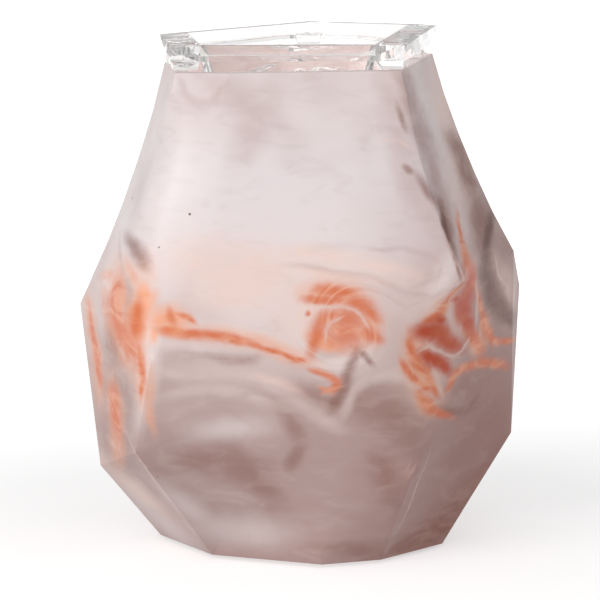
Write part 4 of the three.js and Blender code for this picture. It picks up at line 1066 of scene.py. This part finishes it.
# %% Finish group for the small parts
grain, source, sink = new_group(
    "grain",
    [("Place", VECTOR, None), ("Fineness", FLOAT, 400.0), ("Stretch", VECTOR, (1, 1, 1)),
     ("Base", COLOR, (0.5, 0.5, 0.5, 1)), ("Worn", COLOR, (0.6, 0.6, 0.6, 1)),
     ("Smooth", FLOAT, 0.3), ("Rough", FLOAT, 0.5)],
    [("Color", COLOR), ("Roughness", FLOAT), ("Height", FLOAT)])
drawn = add(grain, "ShaderNodeVectorMath", {0: source.outputs["Place"], 1: source.outputs["Stretch"]},
            operation="MULTIPLY").outputs[0]
fine = add(grain, "ShaderNodeTexNoise", {"Vector": drawn, "Scale": source.outputs["Fineness"],
                                         "Detail": 4.0}).outputs["Fac"]
broad = add(grain, "ShaderNodeTexNoise", {"Vector": source.outputs["Place"], "Scale": 60.0,
                                          "Detail": 3.0}).outputs["Fac"]
wear = steps(grain, broad, 0.45, 0.75)
tone = blend_in(grain, source.outputs["Base"], source.outputs["Worn"], wear)
grain.links.new(tone, sink.inputs["Color"])
sheen = add(grain, "ShaderNodeMapRange", {"Value": fine, "To Min": source.outputs["Smooth"],
                                          "To Max": source.outputs["Rough"]}).outputs[0]
grain.links.new(sheen, sink.inputs["Roughness"])
grain.links.new(fine, sink.inputs["Height"])


def plain_finish(name, base, worn, smooth, rough, metallic=0.0, fineness=400.0,
                 stretch=(1, 1, 1), depth=0.02):
    """A material for a small part: its two tones, its roughness and its grain."""
    made, tree, shader, place = new_material(name)
    skin = use(tree, grain, {"Place": place, "Fineness": fineness, "Stretch": stretch, "Base": paint(*base),
                             "Worn": paint(*worn), "Smooth": smooth, "Rough": rough})
    tree.links.new(skin.outputs["Color"], shader.inputs["Base Color"])
    tree.links.new(skin.outputs["Roughness"], shader.inputs["Roughness"])
    shader.inputs["Metallic"].default_value = metallic
    bumped(tree, shader, skin.outputs["Height"], 0.4, depth)
    return made


# Base and worn tone, smooth and rough limit, and then metallic, fineness, stretch and depth
FINISHES = {
    "enamelled_steel": ((222, 218, 213), (205, 200, 195), 0.3, 0.5, 0.0, 900.0),
    "zinc_steel": ((176, 178, 182), (150, 153, 158), 0.25, 0.5, 1.0, 500.0),
    "spring_steel": ((120, 126, 134), (92, 98, 108), 0.2, 0.45, 1.0, 300.0, (1, 6, 1)),
    "brass": ((205, 168, 92), (176, 138, 70), 0.2, 0.4, 1.0, 500.0),
    "nickel": ((196, 192, 184), (170, 166, 158), 0.15, 0.35, 1.0, 600.0),
    "black_phenolic": ((34, 32, 31), (52, 48, 46), 0.3, 0.5, 0.0, 700.0),
    "silicone_rubber": ((206, 200, 196), (192, 186, 181), 0.6, 0.8, 0.0, 900.0),
    "black_rubber": ((38, 37, 37), (54, 52, 51), 0.65, 0.9, 0.0, 900.0, (1, 1, 1), 0.05),
    "tungsten": ((110, 108, 105), (84, 82, 80), 0.3, 0.5, 1.0, 900.0),
}
finishes = {name: plain_finish(name, *values) for name, values in FINISHES.items()}

SEED_DEPTH = 0.2
lamp_glass, tree, shader, place = new_material("lamp_glass")
shader.inputs["Base Color"].default_value = paint(252, 252, 252)
shader.inputs["Transmission Weight"].default_value = 1
shader.inputs["IOR"].default_value = 1.45
seeds = add(tree, "ShaderNodeTexNoise", {"Vector": place, "Scale": 50.0, "Detail": 1.0})
bumped(tree, shader, seeds.outputs["Fac"], 0.3, SEED_DEPTH)
smear = add(tree, "ShaderNodeMapRange", {"Value": seeds.outputs["Fac"], "To Min": 0.0, "To Max": 0.03})
tree.links.new(smear.outputs[0], shader.inputs["Roughness"])
finishes["lamp_glass"] = lamp_glass
print("finishes:", ", ".join(finishes))

# %% Dress the inner pieces
# Width of the rounded edge of each kind of piece, in mm
EDGE_ROUNDING = {
    "base_plate": 0.3, "base_gasket": 0.15, "cord_grommet": 0.4, "holder_bracket": 0.3,
    "nipple_nut_lower": 0.25, "nipple_nut_upper": 0.25, "threaded_nipple": 0.2,
    "lampholder_body": 0.3,
}

body_of = {node: body for body, members in frame["record"]["behaviour"]["bodies"].items() for node in members}
slot_of = {entry["node"]: entry["material_slot"] for entry in frame["record"]["subparts"]}
for node in sorted(nodes):
    if node in ("shade", "wax_dish"):
        continue
    width = EDGE_ROUNDING.get(node, 0)
    piece = copied(node, f"{node}_finished")
    round_edges(piece, width * MM, sharpest=30, segments=2)
    piece.data.materials.append(finishes[slot_of[node]])
    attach(piece, body_of[node])
    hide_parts(node)
print("inner pieces dressed:", len(nodes) - 2)
